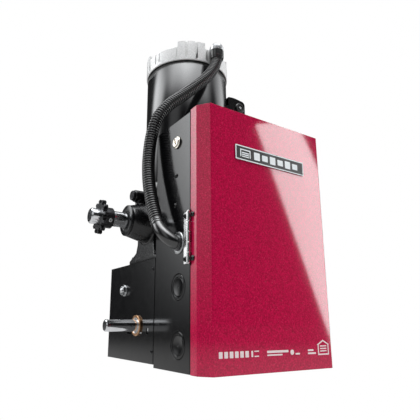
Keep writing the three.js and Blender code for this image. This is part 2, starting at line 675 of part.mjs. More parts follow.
// Cast end bell: a plain ring on the shell, a notched rim and eight bolt lands round a domed top.
function endBell() {
  const { x, y, radius, z1, top } = MOTOR;
  const rim = radius + 2.6;
  const floor = z1 + 0.4;
  const profile = [
    [79.5, floor], [rim, floor + 2], [rim, floor + 27.5], [rim - 8, top - 9],
    [46, top - 4], [0, top - 4], [0, top - 8], [46, top - 8], [79.5, floor + 16],
  ];
  const lands = [];
  for (let i = 0; i < 8; i += 1) {
    const land = box(rim - 14, rim - 0.4, -9.5, 9.5, floor + 18, top);
    lands.push(land.rotateZ((i * Math.PI) / 4 + Math.PI / 8 + 0.04).translate(x, y, 0));
  }
  return join(turnedZ(profile, x, y, 36), ...lands);
}

function stator() {
  const { x, y, radius, wall } = MOTOR;
  const outer = radius - wall - FIT;
  const profile = [
    [61.5, 332], [75, 332], [outer, 350], [outer, 500], [75, 519], [61.5, 519],
  ];
  return turnedZ(profile, x, y, 24);
}

function coolingFan() {
  const { x, y } = MOTOR;
  const count = 7;
  const blades = Array.from({ length: count }, (_, i) => {
    const blade = box(20, 66, -1.2, 1.2, 532, 553);
    return blade.rotateZ((i * 2 * Math.PI) / count).translate(x, y, 0);
  });
  return join(ringZ(8.6, 24, 530, 553, x, y, 14), ringZ(22, 68, 530, 533, x, y, 24), ...blades);
}

function capacitorCover() {
  const { x0, x1, y0, y1, z0, z1, corner } = CAPACITOR_COVER;
  const bend = (middle, start, radius) => [0, 1, 2, 3].map((step) => {
    const angle = start + (step * Math.PI) / 6;
    return [x1 - corner + radius * Math.cos(angle), middle + radius * Math.sin(angle)];
  });
  const profile = (inset) => outline([
    [x0, z0 + inset],
    ...bend(z0 + corner, -Math.PI / 2, corner - inset),
    ...bend(z1 - corner, 0, corner - inset),
    [x0, z1 - inset],
  ]);
  const shell = plateY(profile(0), y0, y1);
  const inside = plateY(profile(SHEET), y0 + SHEET, y1 - SHEET);
  const motorSkin = rodZ(MOTOR.radius + FIT, z0 - 10, z1 + 10, MOTOR.x, MOTOR.y, 48);
  return cut(shell, inside, motorSkin);
}

// ------------------------------------------------------------ conduit

function conduitElbow() {
  const collar = rodX(ELBOW.collar, -6.5, -2.3, GLAND.y, GLAND.z, 20);
  return join(tube(ELBOW_ROUTE, ELBOW.radius, 10, 16), collar);
}

function conduitLocknut() {
  const count = 6;
  const lugs = Array.from({ length: count }, (_, i) => {
    const lug = box(SHEET + FIT, SHEET + 3.4, -2, 2, 13, 17.5);
    return lug.rotateX((i * 2 * Math.PI) / count).translate(0, GLAND.y, GLAND.z);
  });
  return join(ringX(11, 15, SHEET + FIT, SHEET + 3.4, GLAND.y, GLAND.z, 18), ...lugs);
}

function glandWasher() {
  return ringX(11, 16.2, -1.9, -0.4, GLAND.y, GLAND.z, 28);
}

// Zinc cap and arm of the connector that enters the end bell, above the black gland nut.
const FITTING = { x: 122, y: 128, z: 584, arm: 591.6 };

function conduitFitting() {
  const { x, y, z, arm } = FITTING;
  const cap = join(rodZ(13.4, z, z + 9, x, y, 20), rodZ(13.4, z + 8.8, z + 15, x, y, 20, 8));
  return join(cap, rodY(7, y, MOTOR.y - MOTOR.radius - 3.6, x, arm, 16));
}

function conduitNut() {
  const { x, y, z } = FITTING;
  const bore = running(CONDUIT_RADIUS, 12) + 0.3;
  return join(ringZ(bore, 13.6, z - 14, z - FIT, x, y, 12), ringZ(bore, 13.2, z - 18, z - 13.8, x, y, 12));
}

// ---------------------------------------------------------------- assembly

add('enclosure_box', enclosureBox(), blackPaint);
add('knockout_upper', knockout(KNOCKOUT.upperZ), blackPaint);
add('knockout_lower', knockout(KNOCKOUT.lowerZ), blackPaint);
add('antenna_jack', antennaJack(), nickel);
add('hinge_leaf_box', hingeLeafBox(), zincPlate);
add('hinge_leaf_cover', hingeLeafCover(), zincPlate);
add('front_cover', frontCover(), redPaint);
add('badge_plate', badgePlate(), blackPlastic);
add('cover_latch', coverLatch(), nickel);

add('mounting_panel', mountingPanel(), zincPlate);
add('control_board', box(30, 152, BOARD_Y, BOARD_Y + 1.6, 186, 352), circuitGreen);
add('terminal_strip', terminalRow(40, 142, 190, 204, BOARD_Y - 13, BOARD_Y - FIT, 10), greenPlastic);
add('keypad_housing', keypadHousing(), greyPlastic);
const buttonFinish = { open: greenPlastic, stop: redPlastic, close: ivoryPlastic };
Object.entries(buttonFinish).forEach(([name, material], i) => {
  add(`button_${name}`, rodY(6, BOARD_Y - 11, BOARD_Y - 3, BUTTON_X[i], BUTTON_Z, 20), material);
});
add('selector_dial', selectorDial(), blackPlastic);
add('transformer', transformer(), lamination);
add('contactor', contactor(), blackPlastic);

add('limit_bracket', limitBracket(), zincPlate);
add('limit_shaft', limitShaft(), zincPlate);
add('limit_nut_open', limitNut(LIMIT.openX), ivoryPlastic);
add('limit_nut_close', limitNut(LIMIT.closeX), ivoryPlastic);
add('limit_plate', limitPlate(), zincPlate);
for (const [name, side] of [['open', -1], ['close', 1]]) {
  add(`limit_switch_${name}`, limitSwitch(side), blackPlastic);
  add(`switch_lever_${name}`, switchLever(side), brightSteel);
}

add('drive_housing', driveHousing(), blackPaint);
add('lower_bearing_left', lowerBearing(-1), bronze);
add('lower_bearing_right', lowerBearing(1), bronze);
add('lower_shaft', lowerShaft(), brightSteel);
add('shaft_gear', trainGear(LOWER.y, 0, running(LOWER.radius)), zincPlate);
add('idler_gear', trainGear(idlerY, Math.PI / TRAIN.teeth, running(4.8)), zincPlate);
add('side_stud', sideStud(), zincPlate);

add('chain_sprocket_lower', sprocket(CHAIN.largeTeeth, running(LOWER.radius), CHAIN.x - CHAIN.tooth / 2,
  CHAIN.x + CHAIN.tooth / 2, LOWER.y, LOWER.z, 17, CHAIN.x - 20), blackOxide);
add('chain_sprocket_upper', sprocket(CHAIN.smallTeeth, running(OUTPUT.radius), CHAIN.x - CHAIN.tooth / 2,
  CHAIN.x + CHAIN.tooth / 2, OUTPUT.y, OUTPUT.z, 17.5, CHAIN.x + 8), blackOxide);
add('roller_chain', rollerChain(), blackOxide);
add('chain_guard', chainGuard(), blackPaint);

add('gearbox_housing', gearboxHousing(), castBlack);
add('gearbox_cover', gearboxCover(), castBlack);
add('filler_plug', fillerPlug(), blackOxide);
add('output_shaft', outputShaft(), brightSteel);
add('worm_wheel', wormWheel(), bronze);
add('drive_sprocket', sprocket(CHAIN.smallTeeth, running(OUTPUT.radius), -82, -75, OUTPUT.y, OUTPUT.z, 17, -60),
  blackOxide);

add('motor_flange', motorFlange(), motorEnamel);
add('motor_shell', ringZ(MOTOR.radius - MOTOR.wall, MOTOR.radius, MOTOR.z0, MOTOR.z1, MOTOR.x, MOTOR.y, 48),
  motorEnamel);
add('end_bell', endBell(), castAluminium);
add('stator', stator(), lamination);
add('rotor_core', ringZ(8.6, 60.4, 345, 505, MOTOR.x, MOTOR.y, 28), lamination);
add('motor_shaft', motorShaft(), brightSteel);
add('cooling_fan', coolingFan(), blackPlastic);
add('capacitor_cover', capacitorCover(), motorEnamel);
add('capacitor', rodZ(14.5, 430, 526, 214.8, 206, 20), castAluminium);

add('conduit', tube(CONDUIT_ROUTE, CONDUIT_RADIUS, 8, 28), blackPlastic);
add('conduit_elbow', conduitElbow(), blackPlastic);
add('gland_washer', glandWasher(), zincPlate);
add('conduit_locknut', conduitLocknut(), zincPlate);
add('conduit_fitting', conduitFitting(), zincPlate);
add('conduit_nut', conduitNut(), blackPlastic);

// The origin is the middle of the drive housing's back face, which lies against the wall.
group.position.set(-CABINET_W / 2, -HOUSING.y1, -(HOUSING.z0 + HOUSING.z1) / 2);

export default group;
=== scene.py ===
"""Wall-mounted gearhead door operator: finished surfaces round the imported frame.

Pieces are drawn in millimetres in the cabinet's own frame (X from its left side, Y from the cover's
front towards the wall, Z from the cover's foot) and moved to the row frame, in metres, when made.
"""
import json
import math

import bmesh
import bpy
from mathutils import Matrix, Vector


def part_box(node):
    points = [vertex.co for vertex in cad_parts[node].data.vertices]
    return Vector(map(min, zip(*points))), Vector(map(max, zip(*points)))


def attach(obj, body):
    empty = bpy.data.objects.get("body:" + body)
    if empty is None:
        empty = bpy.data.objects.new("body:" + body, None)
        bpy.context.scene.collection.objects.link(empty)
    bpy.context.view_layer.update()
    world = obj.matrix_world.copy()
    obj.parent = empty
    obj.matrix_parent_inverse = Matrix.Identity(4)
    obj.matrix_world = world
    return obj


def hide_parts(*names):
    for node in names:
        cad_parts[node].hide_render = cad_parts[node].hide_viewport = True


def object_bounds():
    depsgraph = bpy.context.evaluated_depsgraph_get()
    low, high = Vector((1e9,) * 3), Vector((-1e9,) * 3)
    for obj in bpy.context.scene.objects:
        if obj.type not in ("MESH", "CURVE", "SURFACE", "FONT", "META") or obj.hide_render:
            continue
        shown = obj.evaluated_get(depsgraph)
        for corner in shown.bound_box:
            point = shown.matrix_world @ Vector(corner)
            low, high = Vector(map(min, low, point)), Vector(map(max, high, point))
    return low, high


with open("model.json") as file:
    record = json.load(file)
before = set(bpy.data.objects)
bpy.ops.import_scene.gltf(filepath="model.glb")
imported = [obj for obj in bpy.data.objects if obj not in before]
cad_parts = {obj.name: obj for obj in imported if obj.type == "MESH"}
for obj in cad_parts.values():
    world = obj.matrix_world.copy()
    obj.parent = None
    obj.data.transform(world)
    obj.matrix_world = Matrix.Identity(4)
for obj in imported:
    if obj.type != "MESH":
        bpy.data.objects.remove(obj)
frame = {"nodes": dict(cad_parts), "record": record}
CAD_BOUNDS = [list(corner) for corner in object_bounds()]

MM = 0.001
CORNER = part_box("front_cover")[0]
TO_ROW = Matrix.Translation(CORNER) @ Matrix.Scale(MM, 4)
X, Y, Z = Vector((1, 0, 0)), Vector((0, 1, 0)), Vector((0, 0, 1))


def span(node):
    """A CAD node's lowest and highest corner in the cabinet's frame, in millimetres."""
    low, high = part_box(node)
    return (low - CORNER) / MM, (high - CORNER) / MM


def middle(node):
    low, high = span(node)
    return (low + high) / 2


# Measurements that several pieces share, in millimetres.
OUTPUT_AXIS = Vector((0, 180, 232.8))
LOWER_AXIS = Vector((0, 195.5, 62))
LIMIT_AXIS = Vector((0, 99.5, 62))
LATCH_AXIS = Vector((0, 25, 190))
CHAIN_PITCH = 12.7
SMALL_TEETH, LARGE_TEETH = 12, 18
COVER_PLUG = (219, 0, 514)
KEYPAD_Z, DIAL_X = 330, 127


# ---------------------------------------------------------------- camera, light and floor

def add_camera():
    """Low, left of the object, looking up at it: the view the object was drawn from."""
    place = TO_ROW @ Vector((-312, -449.5, 66.5))
    look = Vector((0.5224, 0.8200, 0.2340)).normalized()
    roll = math.radians(0.194)
    level = look.cross(Z).normalized()
    upright = level.cross(look)
    right = level * math.cos(roll) + upright * math.sin(roll)
    up = right.cross(look)
    turn = Matrix((right, up, -look)).transposed()
    data = bpy.data.cameras.new("camera")
    data.sensor_width = 36
    data.lens = 35.86
    data.shift_x = 0.053
    data.shift_y = 0.029
    data.clip_start = 0.01
    camera = bpy.data.objects.new("camera", data)
    camera.matrix_world = Matrix.Translation(place) @ turn.to_4x4()
    bpy.context.scene.collection.objects.link(camera)
    bpy.context.scene.camera = camera
    return place


def mirrored(eye, point, normal):
    """Where the eye's line to this point goes on to after a mirror with this normal."""
    ray = (point - eye).normalized()
    return ray - 2 * ray.dot(normal) * normal


def add_key_light(eye):
    """A long slanting strip light, seen in the cover as a band between these two edges."""
    near, far, stretch = 1.9, 3.0, 1.2
    corners = [((110, 0, 352), far), ((204, 0, 376), far), ((239.4, 0, 41.5), near), ((412, 0, 38.4), near)]
    seen = []
    for corner, distance in corners:
        spot = TO_ROW @ Vector(corner)
        seen.append(spot + mirrored(eye, spot, -Y) * distance)
    top, foot = (seen[0] + seen[1]) / 2, (seen[2] + seen[3]) / 2
    along = (top - foot).normalized()
    across = (seen[3] - seen[2]).normalized()
    facing = across.cross(along).normalized()
    across = along.cross(facing)
    centre = (top + foot) / 2
    if facing.dot(centre) < 0:
        facing, across = -facing, -across
    data = bpy.data.lights.new("key", "AREA")
    data.shape = "RECTANGLE"
    data.size, data.size_y = (seen[3] - seen[2]).length, (top - foot).length * stretch
    data.energy = KEY_RADIANCE * math.pi * data.size * data.size_y
    key = bpy.data.objects.new("key", data)
    key.matrix_world = Matrix.Translation(centre) @ Matrix((across, along, facing)).transposed().to_4x4()
    key.visible_camera = False
    bpy.context.scene.collection.objects.link(key)


KEY_RADIANCE = 8.5
SURROUND = 0.03
LIGHT_TINT = (0.97, 0.985, 1, 1)
EDGE_POWER = 4  # higher makes each glow flatter in its middle, with a harder edge
# Soft lights far away: direction (degrees round from the wall, to the right; degrees up),
# spread across and up, brightness.
GLOWS = [
    ((-47, 33), (0.27, 0.42), 4.8),
    ((88, 24), (0.30, 0.50), 1.7),
    ((170, 68), (0.38, 0.38), 4.2),
    ((-112, 30), (0.22, 0.42), 0.7),
    ((-115, 70), (0.35, 0.30), 5.0),
    ((40, 58), (0.30, 0.30), 0.35),
]


def add_world():
    """White where the camera sees it; a dark studio with soft glows where it lights the object."""
    world = bpy.data.worlds.new("studio")
    world.use_nodes = True
    nodes, links = world.node_tree.nodes, world.node_tree.links
    nodes.clear()
    direction = nodes.new("ShaderNodeTexCoord").outputs["Generated"]

    def math_node(operation, *values):
        node = nodes.new("ShaderNodeMath")
        node.operation = operation
        for socket, value in zip(node.inputs, values):
            if isinstance(value, (int, float)):
                socket.default_value = value
            else:
                links.new(value, socket)
        return node.outputs[0]

    def part_along(axis):
        node = nodes.new("ShaderNodeVectorMath")
        node.operation = "DOT_PRODUCT"
        node.inputs[1].default_value = axis
        links.new(direction, node.inputs[0])
        return node.outputs["Value"]

    total = SURROUND
    for (azimuth, elevation), (wide, tall), radiance in GLOWS:
        a, e = math.radians(azimuth), math.radians(elevation)
        towards = Vector((math.sin(a) * math.cos(e), math.cos(a) * math.cos(e), math.sin(e)))
        across = Vector((math.cos(a), -math.sin(a), 0))
        over = across.cross(towards)
        u = math_node("POWER", math_node("ABSOLUTE", math_node("DIVIDE", part_along(across), wide)),
                      EDGE_POWER)
        v = math_node("POWER", math_node("ABSOLUTE", math_node("DIVIDE", part_along(over), tall)),
                      EDGE_POWER)
        glow = math_node("POWER", math.e, math_node("MULTIPLY", math_node("ADD", u, v), -1))
        ahead = math_node("GREATER_THAN", part_along(towards), 0)
        total = math_node("ADD", total, math_node("MULTIPLY", math_node("MULTIPLY", glow, ahead), radiance))
    seen, lit = nodes.new("ShaderNodeBackground"), nodes.new("ShaderNodeBackground")
    seen.inputs["Color"].default_value = (1, 1, 1, 1)
    lit.inputs["Color"].default_value = LIGHT_TINT
    links.new(total, lit.inputs["Strength"])
    mix = nodes.new("ShaderNodeMixShader")
    links.new(nodes.new("ShaderNodeLightPath").outputs["Is Camera Ray"], mix.inputs[0])
    links.new(lit.outputs[0], mix.inputs[1])
    links.new(seen.outputs[0], mix.inputs[2])
    links.new(mix.outputs[0], nodes.new("ShaderNodeOutputWorld").inputs["Surface"])
    bpy.context.scene.world = world


def add_floor():
    """A white floor below the object, whose light on the object fades with distance."""
    drop, size, bright, fade = 0.12, 30, 0.75, 2.5
    mesh = bpy.data.meshes.new("floor")
    low = CAD_BOUNDS[0][2] - drop
    corners = [(-size, -size, low), (size, -size, low), (size, size, low), (-size, size, low)]
    mesh.from_pydata(corners, [], [(0, 1, 2, 3)])
    floor = bpy.data.objects.new("floor", mesh)
    material = bpy.data.materials.new("floor")
    material.use_nodes = True
    nodes, links = material.node_tree.nodes, material.node_tree.links
    nodes.clear()
    pool = nodes.new("ShaderNodeVectorMath")
    pool.operation = "LENGTH"
    links.new(nodes.new("ShaderNodeTexCoord").outputs["Object"], pool.inputs[0])
    falloff = nodes.new("ShaderNodeMapRange")
    falloff.interpolation_type = "SMOOTHERSTEP"
    falloff.inputs["From Max"].default_value = 2 * fade
    falloff.inputs["To Min"].default_value = bright
    falloff.inputs["To Max"].default_value = bright / 8
    links.new(pool.outputs["Value"], falloff.inputs["Value"])
    seen, lit = nodes.new("ShaderNodeEmission"), nodes.new("ShaderNodeEmission")
    links.new(falloff.outputs[0], lit.inputs["Strength"])
    mix = nodes.new("ShaderNodeMixShader")
    links.new(nodes.new("ShaderNodeLightPath").outputs["Is Camera Ray"], mix.inputs[0])
    links.new(lit.outputs[0], mix.inputs[1])
    links.new(seen.outputs[0], mix.inputs[2])
    links.new(mix.outputs[0], nodes.new("ShaderNodeOutputMaterial").inputs["Surface"])
    mesh.materials.append(material)
    bpy.context.scene.collection.objects.link(floor)


# ---------------------------------------------------------------- materials

SOCKETS = {
    "coat_weight": "Coat Weight",
    "coat_roughness": "Coat Roughness",
    "specular": "Specular IOR Level",
}


class Look:
    """A Principled surface whose colour, roughness and relief come from noise in the part's own space."""

    def __init__(self, name, color, metallic=0.0, roughness=0.5, **fixed):
        self.material = bpy.data.materials.new(name)
        self.material.use_nodes = True
        self.nodes = self.material.node_tree.nodes
        self.links = self.material.node_tree.links
        self.nodes.clear()
        output = self.nodes.new("ShaderNodeOutputMaterial")
        self.shader = self.nodes.new("ShaderNodeBsdfPrincipled")
        self.links.new(self.shader.outputs[0], output.inputs["Surface"])
        self.place = self.nodes.new("ShaderNodeTexCoord").outputs["Object"]
        self.shader.inputs["Base Color"].default_value = (*color, 1)
        self.shader.inputs["Metallic"].default_value = metallic
        self.shader.inputs["Roughness"].default_value = roughness
        for socket, value in fixed.items():
            self.shader.inputs[SOCKETS[socket]].default_value = value
        self.color = color

    def grain(self, per_metre, stretch=(1, 1, 1), detail=3.0):
        """Noise with this many features in a metre, stretched along an axis by a small number."""
        mapping = self.nodes.new("ShaderNodeMapping")
        mapping.inputs["Scale"].default_value = stretch
        self.links.new(self.place, mapping.inputs["Vector"])
        noise = self.nodes.new("ShaderNodeTexNoise")
        noise.inputs["Scale"].default_value = per_metre
        noise.inputs["Detail"].default_value = detail
        self.links.new(mapping.outputs[0], noise.inputs["Vector"])
        return noise.outputs["Fac"]

    def cells(self, per_metre):
        """Small flat cells, each with its own value, such as flakes or crystals."""
        voronoi = self.nodes.new("ShaderNodeTexVoronoi")
        voronoi.inputs["Scale"].default_value = per_metre
        self.links.new(self.place, voronoi.inputs["Vector"])
        split = self.nodes.new("ShaderNodeSeparateColor")
        self.links.new(voronoi.outputs["Color"], split.inputs[0])
        return split.outputs[0]

    def ranged(self, value, low, high, near=0.3, far=0.7):
        """Maps noise between near and far onto low to high."""
        node = self.nodes.new("ShaderNodeMapRange")
        node.inputs["From Min"].default_value = near
        node.inputs["From Max"].default_value = far
        node.inputs["To Min"].default_value = low
        node.inputs["To Max"].default_value = high
        self.links.new(value, node.inputs["Value"])
        return node.outputs[0]

    def tint(self, value, dark, light):
        """The base colour runs from dark to light times its own value, as the noise does."""
        mix = self.nodes.new("ShaderNodeMix")
        mix.data_type = "RGBA"
        mix.inputs["A"].default_value = (*[c * dark for c in self.color], 1)
        mix.inputs["B"].default_value = (*[min(1, c * light) for c in self.color], 1)
        self.links.new(self.ranged(value, 0, 1), mix.inputs["Factor"])
        self.links.new(mix.outputs["Result"], self.shader.inputs["Base Color"])
        return self

    def spots(self, value, color, near, far):
        """Lays another colour over what is there where the noise is high, such as rust or dust."""
        mix = self.nodes.new("ShaderNodeMix")
        mix.data_type = "RGBA"
        base = self.shader.inputs["Base Color"]
        if base.links:
            self.links.new(base.links[0].from_socket, mix.inputs["A"])
        else:
            mix.inputs["A"].default_value = base.default_value
        mix.inputs["B"].default_value = (*color, 1)
        self.links.new(self.ranged(value, 0, 1, near, far), mix.inputs["Factor"])
        self.links.new(mix.outputs["Result"], base)
        return self

    def sheen(self, value, low, high):
        """Roughness runs from low to high with the noise."""
        self.links.new(self.ranged(value, low, high), self.shader.inputs["Roughness"])
        return self

    def relief(self, value, depth, strength=1.0):
        """Raises the surface by the noise, this many metres deep, on top of any relief before it."""
        bump = self.nodes.new("ShaderNodeBump")
        bump.inputs["Distance"].default_value = depth
        bump.inputs["Strength"].default_value = strength
        self.links.new(value, bump.inputs["Height"])
        normal = self.shader.inputs["Normal"]
        if normal.links:
            self.links.new(normal.links[0].from_socket, bump.inputs["Normal"])
        self.links.new(bump.outputs[0], normal)
        return self


def powder_coat_red():
    look = Look("red_paint", (0.46, 0.003, 0.052), roughness=0.5, specular=0.02,
                coat_weight=1.0, coat_roughness=0.05)
    look.tint(look.grain(520, detail=3), 0.66, 1.34)
    look.spots(look.cells(900), (0.85, 0.10, 0.20), 0.93, 1.25)
    look.sheen(look.grain(260), 0.38, 0.50)
    look.relief(look.grain(520, detail=1), 0.00004, 0.35)
    return look.relief(look.grain(1700, detail=1), 0.00003, 0.35)


def powder_coat_black():
    look = Look("black_paint", (0.004, 0.004, 0.0045), roughness=0.13)
    look.tint(look.grain(18, detail=5), 0.85, 1.2)
    look.sheen(look.grain(90), 0.10, 0.16)
    return look.relief(look.grain(900, detail=1), 0.00003, 0.12)


def motor_enamel():
    look = Look("motor_enamel", (0.004, 0.004, 0.0045), roughness=0.2, coat_weight=0.3, coat_roughness=0.12)
    look.tint(look.grain(25, (1, 1, 0.2)), 0.8, 1.3)
    look.sheen(look.grain(60, (1, 1, 0.15)), 0.12, 0.19)
    return look.relief(look.grain(420, (1, 1, 0.5), 1), 0.00004, 0.2)


def cast_black():
    look = Look("cast_black", (0.0045, 0.0045, 0.005), roughness=0.3)
    look.tint(look.grain(60), 0.8, 1.3)
    look.sheen(look.grain(150), 0.17, 0.30)
    look.relief(look.grain(320, detail=4), 0.0002, 0.25)
    return look.relief(look.grain(1400, detail=2), 0.00005, 0.2)


def cast_aluminium():
    look = Look("cast_aluminium", (0.80, 0.81, 0.80), metallic=0.4, roughness=0.48)
    look.tint(look.grain(900, detail=5), 0.72, 1.25)
    look.sheen(look.grain(500), 0.42, 0.62)
    look.relief(look.grain(600, detail=4), 0.0006, 0.8)
    return look.relief(look.grain(2200, detail=2), 0.00015, 0.6)


def bright_steel():
    look = Look("bright_steel", (0.72, 0.73, 0.75), metallic=1.0, roughness=0.12)
    look.tint(look.grain(70), 0.9, 1.06)
    look.sheen(look.grain(2600, (1, 0.08, 0.08), 2), 0.07, 0.19)
    return look.relief(look.grain(3600, (1, 0.05, 0.05), 1), 0.00003, 0.25)


def zinc_plate():
    look = Look("zinc_plate", (0.62, 0.63, 0.64), metallic=1.0, roughness=0.3)
    look.tint(look.cells(420), 0.86, 1.08)
    look.sheen(look.grain(240), 0.22, 0.4)
    return look.relief(look.grain(1500), 0.00005, 0.3)


def nickel():
    look = Look("nickel", (0.68, 0.64, 0.57), metallic=1.0, roughness=0.16)
    look.tint(look.grain(300), 0.86, 1.08)
    look.sheen(look.grain(900), 0.12, 0.24)
    return look.relief(look.grain(2400, detail=1), 0.00003, 0.25)


def hinge_steel():
    look = Look("hinge_steel", (0.93, 0.93, 0.93), metallic=1.0, roughness=0.26)
    look.tint(look.grain(200, (1, 1, 0.06)), 0.9, 1.08)
    look.sheen(look.grain(2200, (1, 1, 0.03), 2), 0.12, 0.22)
    return look.relief(look.grain(3000, (1, 1, 0.02), 1), 0.00003, 0.3)


def black_oxide():
    look = Look("black_oxide", (0.028, 0.028, 0.030), metallic=0.85, roughness=0.36)
    look.tint(look.grain(420), 0.55, 1.7)
    look.sheen(look.grain(350), 0.26, 0.48)
    return look.relief(look.grain(1200, detail=3), 0.00008, 0.4)


def bronze():
    look = Look("bronze", (0.62, 0.36, 0.20), metallic=1.0, roughness=0.3)
    look.tint(look.grain(260), 0.78, 1.15)
    look.sheen(look.grain(900), 0.22, 0.40)
    return look.relief(look.grain(1700, detail=3), 0.00008, 0.3)


def lamination_steel():
    """Edges of stacked sheets, half a millimetre apart along Z, under varnish."""
    look = Look("lamination_steel", (0.22, 0.225, 0.235), metallic=0.7, roughness=0.45)
    stack = look.grain(1100, (0.02, 0.02, 1), 1)
    look.tint(stack, 0.6, 1.35)
    look.sheen(look.grain(300), 0.35, 0.55)
    return look.relief(stack, 0.0002, 0.5)


def plastic(name, color, low, high, grain=1500, depth=0.00004, coat=0.0):
    look = Look(name, color, roughness=(low + high) / 2, coat_weight=coat)
    look.tint(look.grain(45), 0.93, 1.07)
    look.sheen(look.grain(220), low, high)
    return look.relief(look.grain(grain, detail=2), depth, 0.35)


# Painted shade: the corrugation grooves get a darker, duller black than the crests, standing in for the
# shade that falls in them.
def conduit_groove_painted_shade():
    look = Look("conduit_groove_painted_shade", (0.0012, 0.0012, 0.0013), roughness=0.7, specular=0.05)
    return look.tint(look.grain(160), 0.8, 1.3)


def conduit_black():
    look = Look("conduit_black", (0.007, 0.0071, 0.0074), roughness=0.2, specular=1.0)
    look.tint(look.grain(160), 0.8, 1.3)
    look.sheen(look.grain(420), 0.12, 0.22)
    look.relief(look.grain(130, detail=1), 0.0001, 0.1)
    return look.relief(look.grain(1800, detail=2), 0.00003, 0.25)


def circuit_board():
    """Green solder mask with copper runs just under it."""
    look = Look("circuit_board", (0.012, 0.105, 0.045), roughness=0.3, coat_weight=0.5)
    runs = look.grain(260, (1, 1, 0.22), 0)
    look.tint(runs, 0.75, 1.35)
    look.sheen(look.grain(700), 0.24, 0.36)
    return look.relief(look.ranged(runs, 0, 1, 0.49, 0.51), 0.00003, 0.6)


def printed_ink(name, color):
    look = Look(name, color, roughness=0.4)
    look.tint(look.grain(900), 0.93, 1.06)
    look.sheen(look.grain(400), 0.33, 0.48)
    return look.relief(look.grain(2600), 0.00002, 0.3)


def rubber():
    look = Look("rubber", (0.016, 0.016, 0.017), roughness=0.72)
    look.tint(look.grain(120), 0.8, 1.3)
    look.sheen(look.grain(500), 0.62, 0.82)
    return look.relief(look.grain(1300, detail=4), 0.00015, 0.4)


LOOKS = {
    "red_paint": powder_coat_red(),
    "black_paint": powder_coat_black(),
    "motor_enamel": motor_enamel(),
    "cast_black": cast_black(),
    "cast_aluminium": cast_aluminium(),
    "bright_steel": bright_steel(),
    "zinc_plate": zinc_plate(),
    "nickel": nickel(),
    "hinge_steel": hinge_steel(),
    "black_oxide": black_oxide(),
    "screw_black": plastic("screw_black", (0.004, 0.004, 0.004), 0.22, 0.34),
    "bronze": bronze(),
    "lamination_steel": lamination_steel(),
    "black_plastic": plastic("black_plastic", (0.013, 0.013, 0.014), 0.30, 0.46),
    "conduit_black": conduit_black(),
    "conduit_groove_painted_shade": conduit_groove_painted_shade(),
    "grey_plastic": plastic("grey_plastic", (0.28, 0.30, 0.32), 0.42, 0.56),
    "circuit_board": circuit_board(),
    "green_plastic": plastic("green_plastic", (0.02, 0.24, 0.07), 0.26, 0.38),
    "red_plastic": plastic("red_plastic", (0.46, 0.014, 0.012), 0.24, 0.36),
    "blue_plastic": plastic("blue_plastic", (0.015, 0.07, 0.32), 0.26, 0.38),
    "yellow_plastic": plastic("yellow_plastic", (0.62, 0.38, 0.02), 0.30, 0.42),
    "ivory_plastic": plastic("ivory_plastic", (0.66, 0.63, 0.53), 0.36, 0.5),
    "pale_ink": printed_ink("pale_ink", (0.80, 0.66, 0.68)),
    "silver_ink": printed_ink("silver_ink", (0.86, 0.90, 0.92)),
    "rubber": rubber(),
    "copper": plastic("copper", (0.55, 0.22, 0.10), 0.25, 0.4),
}
LOOKS["copper"].shader.inputs["Metallic"].default_value = 1.0


# ---------------------------------------------------------------- shapes

def prism(outline, low, high, axis):
    """A flat outline swept along an axis: (Y, Z) along X, (X, Z) along Y or (X, Y) along Z."""
    spot = {"X": lambda a, b, c: (c, a, b), "Y": lambda a, b, c: (a, c, b),
            "Z": lambda a, b, c: (a, b, c)}[axis]
    bm = bmesh.new()
    foot = [bm.verts.new(spot(a, b, low)) for a, b in outline]
    head = [bm.verts.new(spot(a, b, high)) for a, b in outline]
    bm.faces.new(foot)
    bm.faces.new(head)
    count = len(outline)
    for i in range(count):
        j = (i + 1) % count
        bm.faces.new((foot[i], foot[j], head[j], head[i]))
    bmesh.ops.recalc_face_normals(bm, faces=bm.faces)
    return bm


def box(x0, x1, y0, y1, z0, z1):
    return prism([(x0, y0), (x1, y0), (x1, y1), (x0, y1)], z0, z1, "Z")


def rounded(outline, radius, steps=5):
    """The outline with each corner replaced by an arc; radius is one number or one for each corner."""
    radii = radius if hasattr(radius, "__len__") else [radius] * len(outline)
    points = []
    for i, corner in enumerate(outline):
        here = Vector(corner)
        before = (Vector(outline[i - 1]) - here).normalized()
        after = (Vector(outline[(i + 1) % len(outline)]) - here).normalized()
        if radii[i] <= 0:
            points.append(tuple(here))
            continue
        half = before.angle(after) / 2
        reach = radii[i] / math.tan(half)
        centre = here + (before + after).normalized() * (radii[i] / math.sin(half))
        start = here + before * reach - centre
        turn = math.pi - 2 * half
        if before.x * after.y - before.y * after.x > 0:
            turn = -turn
        for k in range(steps + 1):
            angle = turn * k / steps
            c, s = math.cos(angle), math.sin(angle)
            points.append((centre.x + start.x * c - start.y * s, centre.y + start.x * s + start.y * c))
    return points


def rectangle(a0, a1, b0, b1, radius=0.0, steps=5):
    corners = [(a0, b0), (a1, b0), (a1, b1), (a0, b1)]
    return rounded(corners, radius, steps) if radius else corners


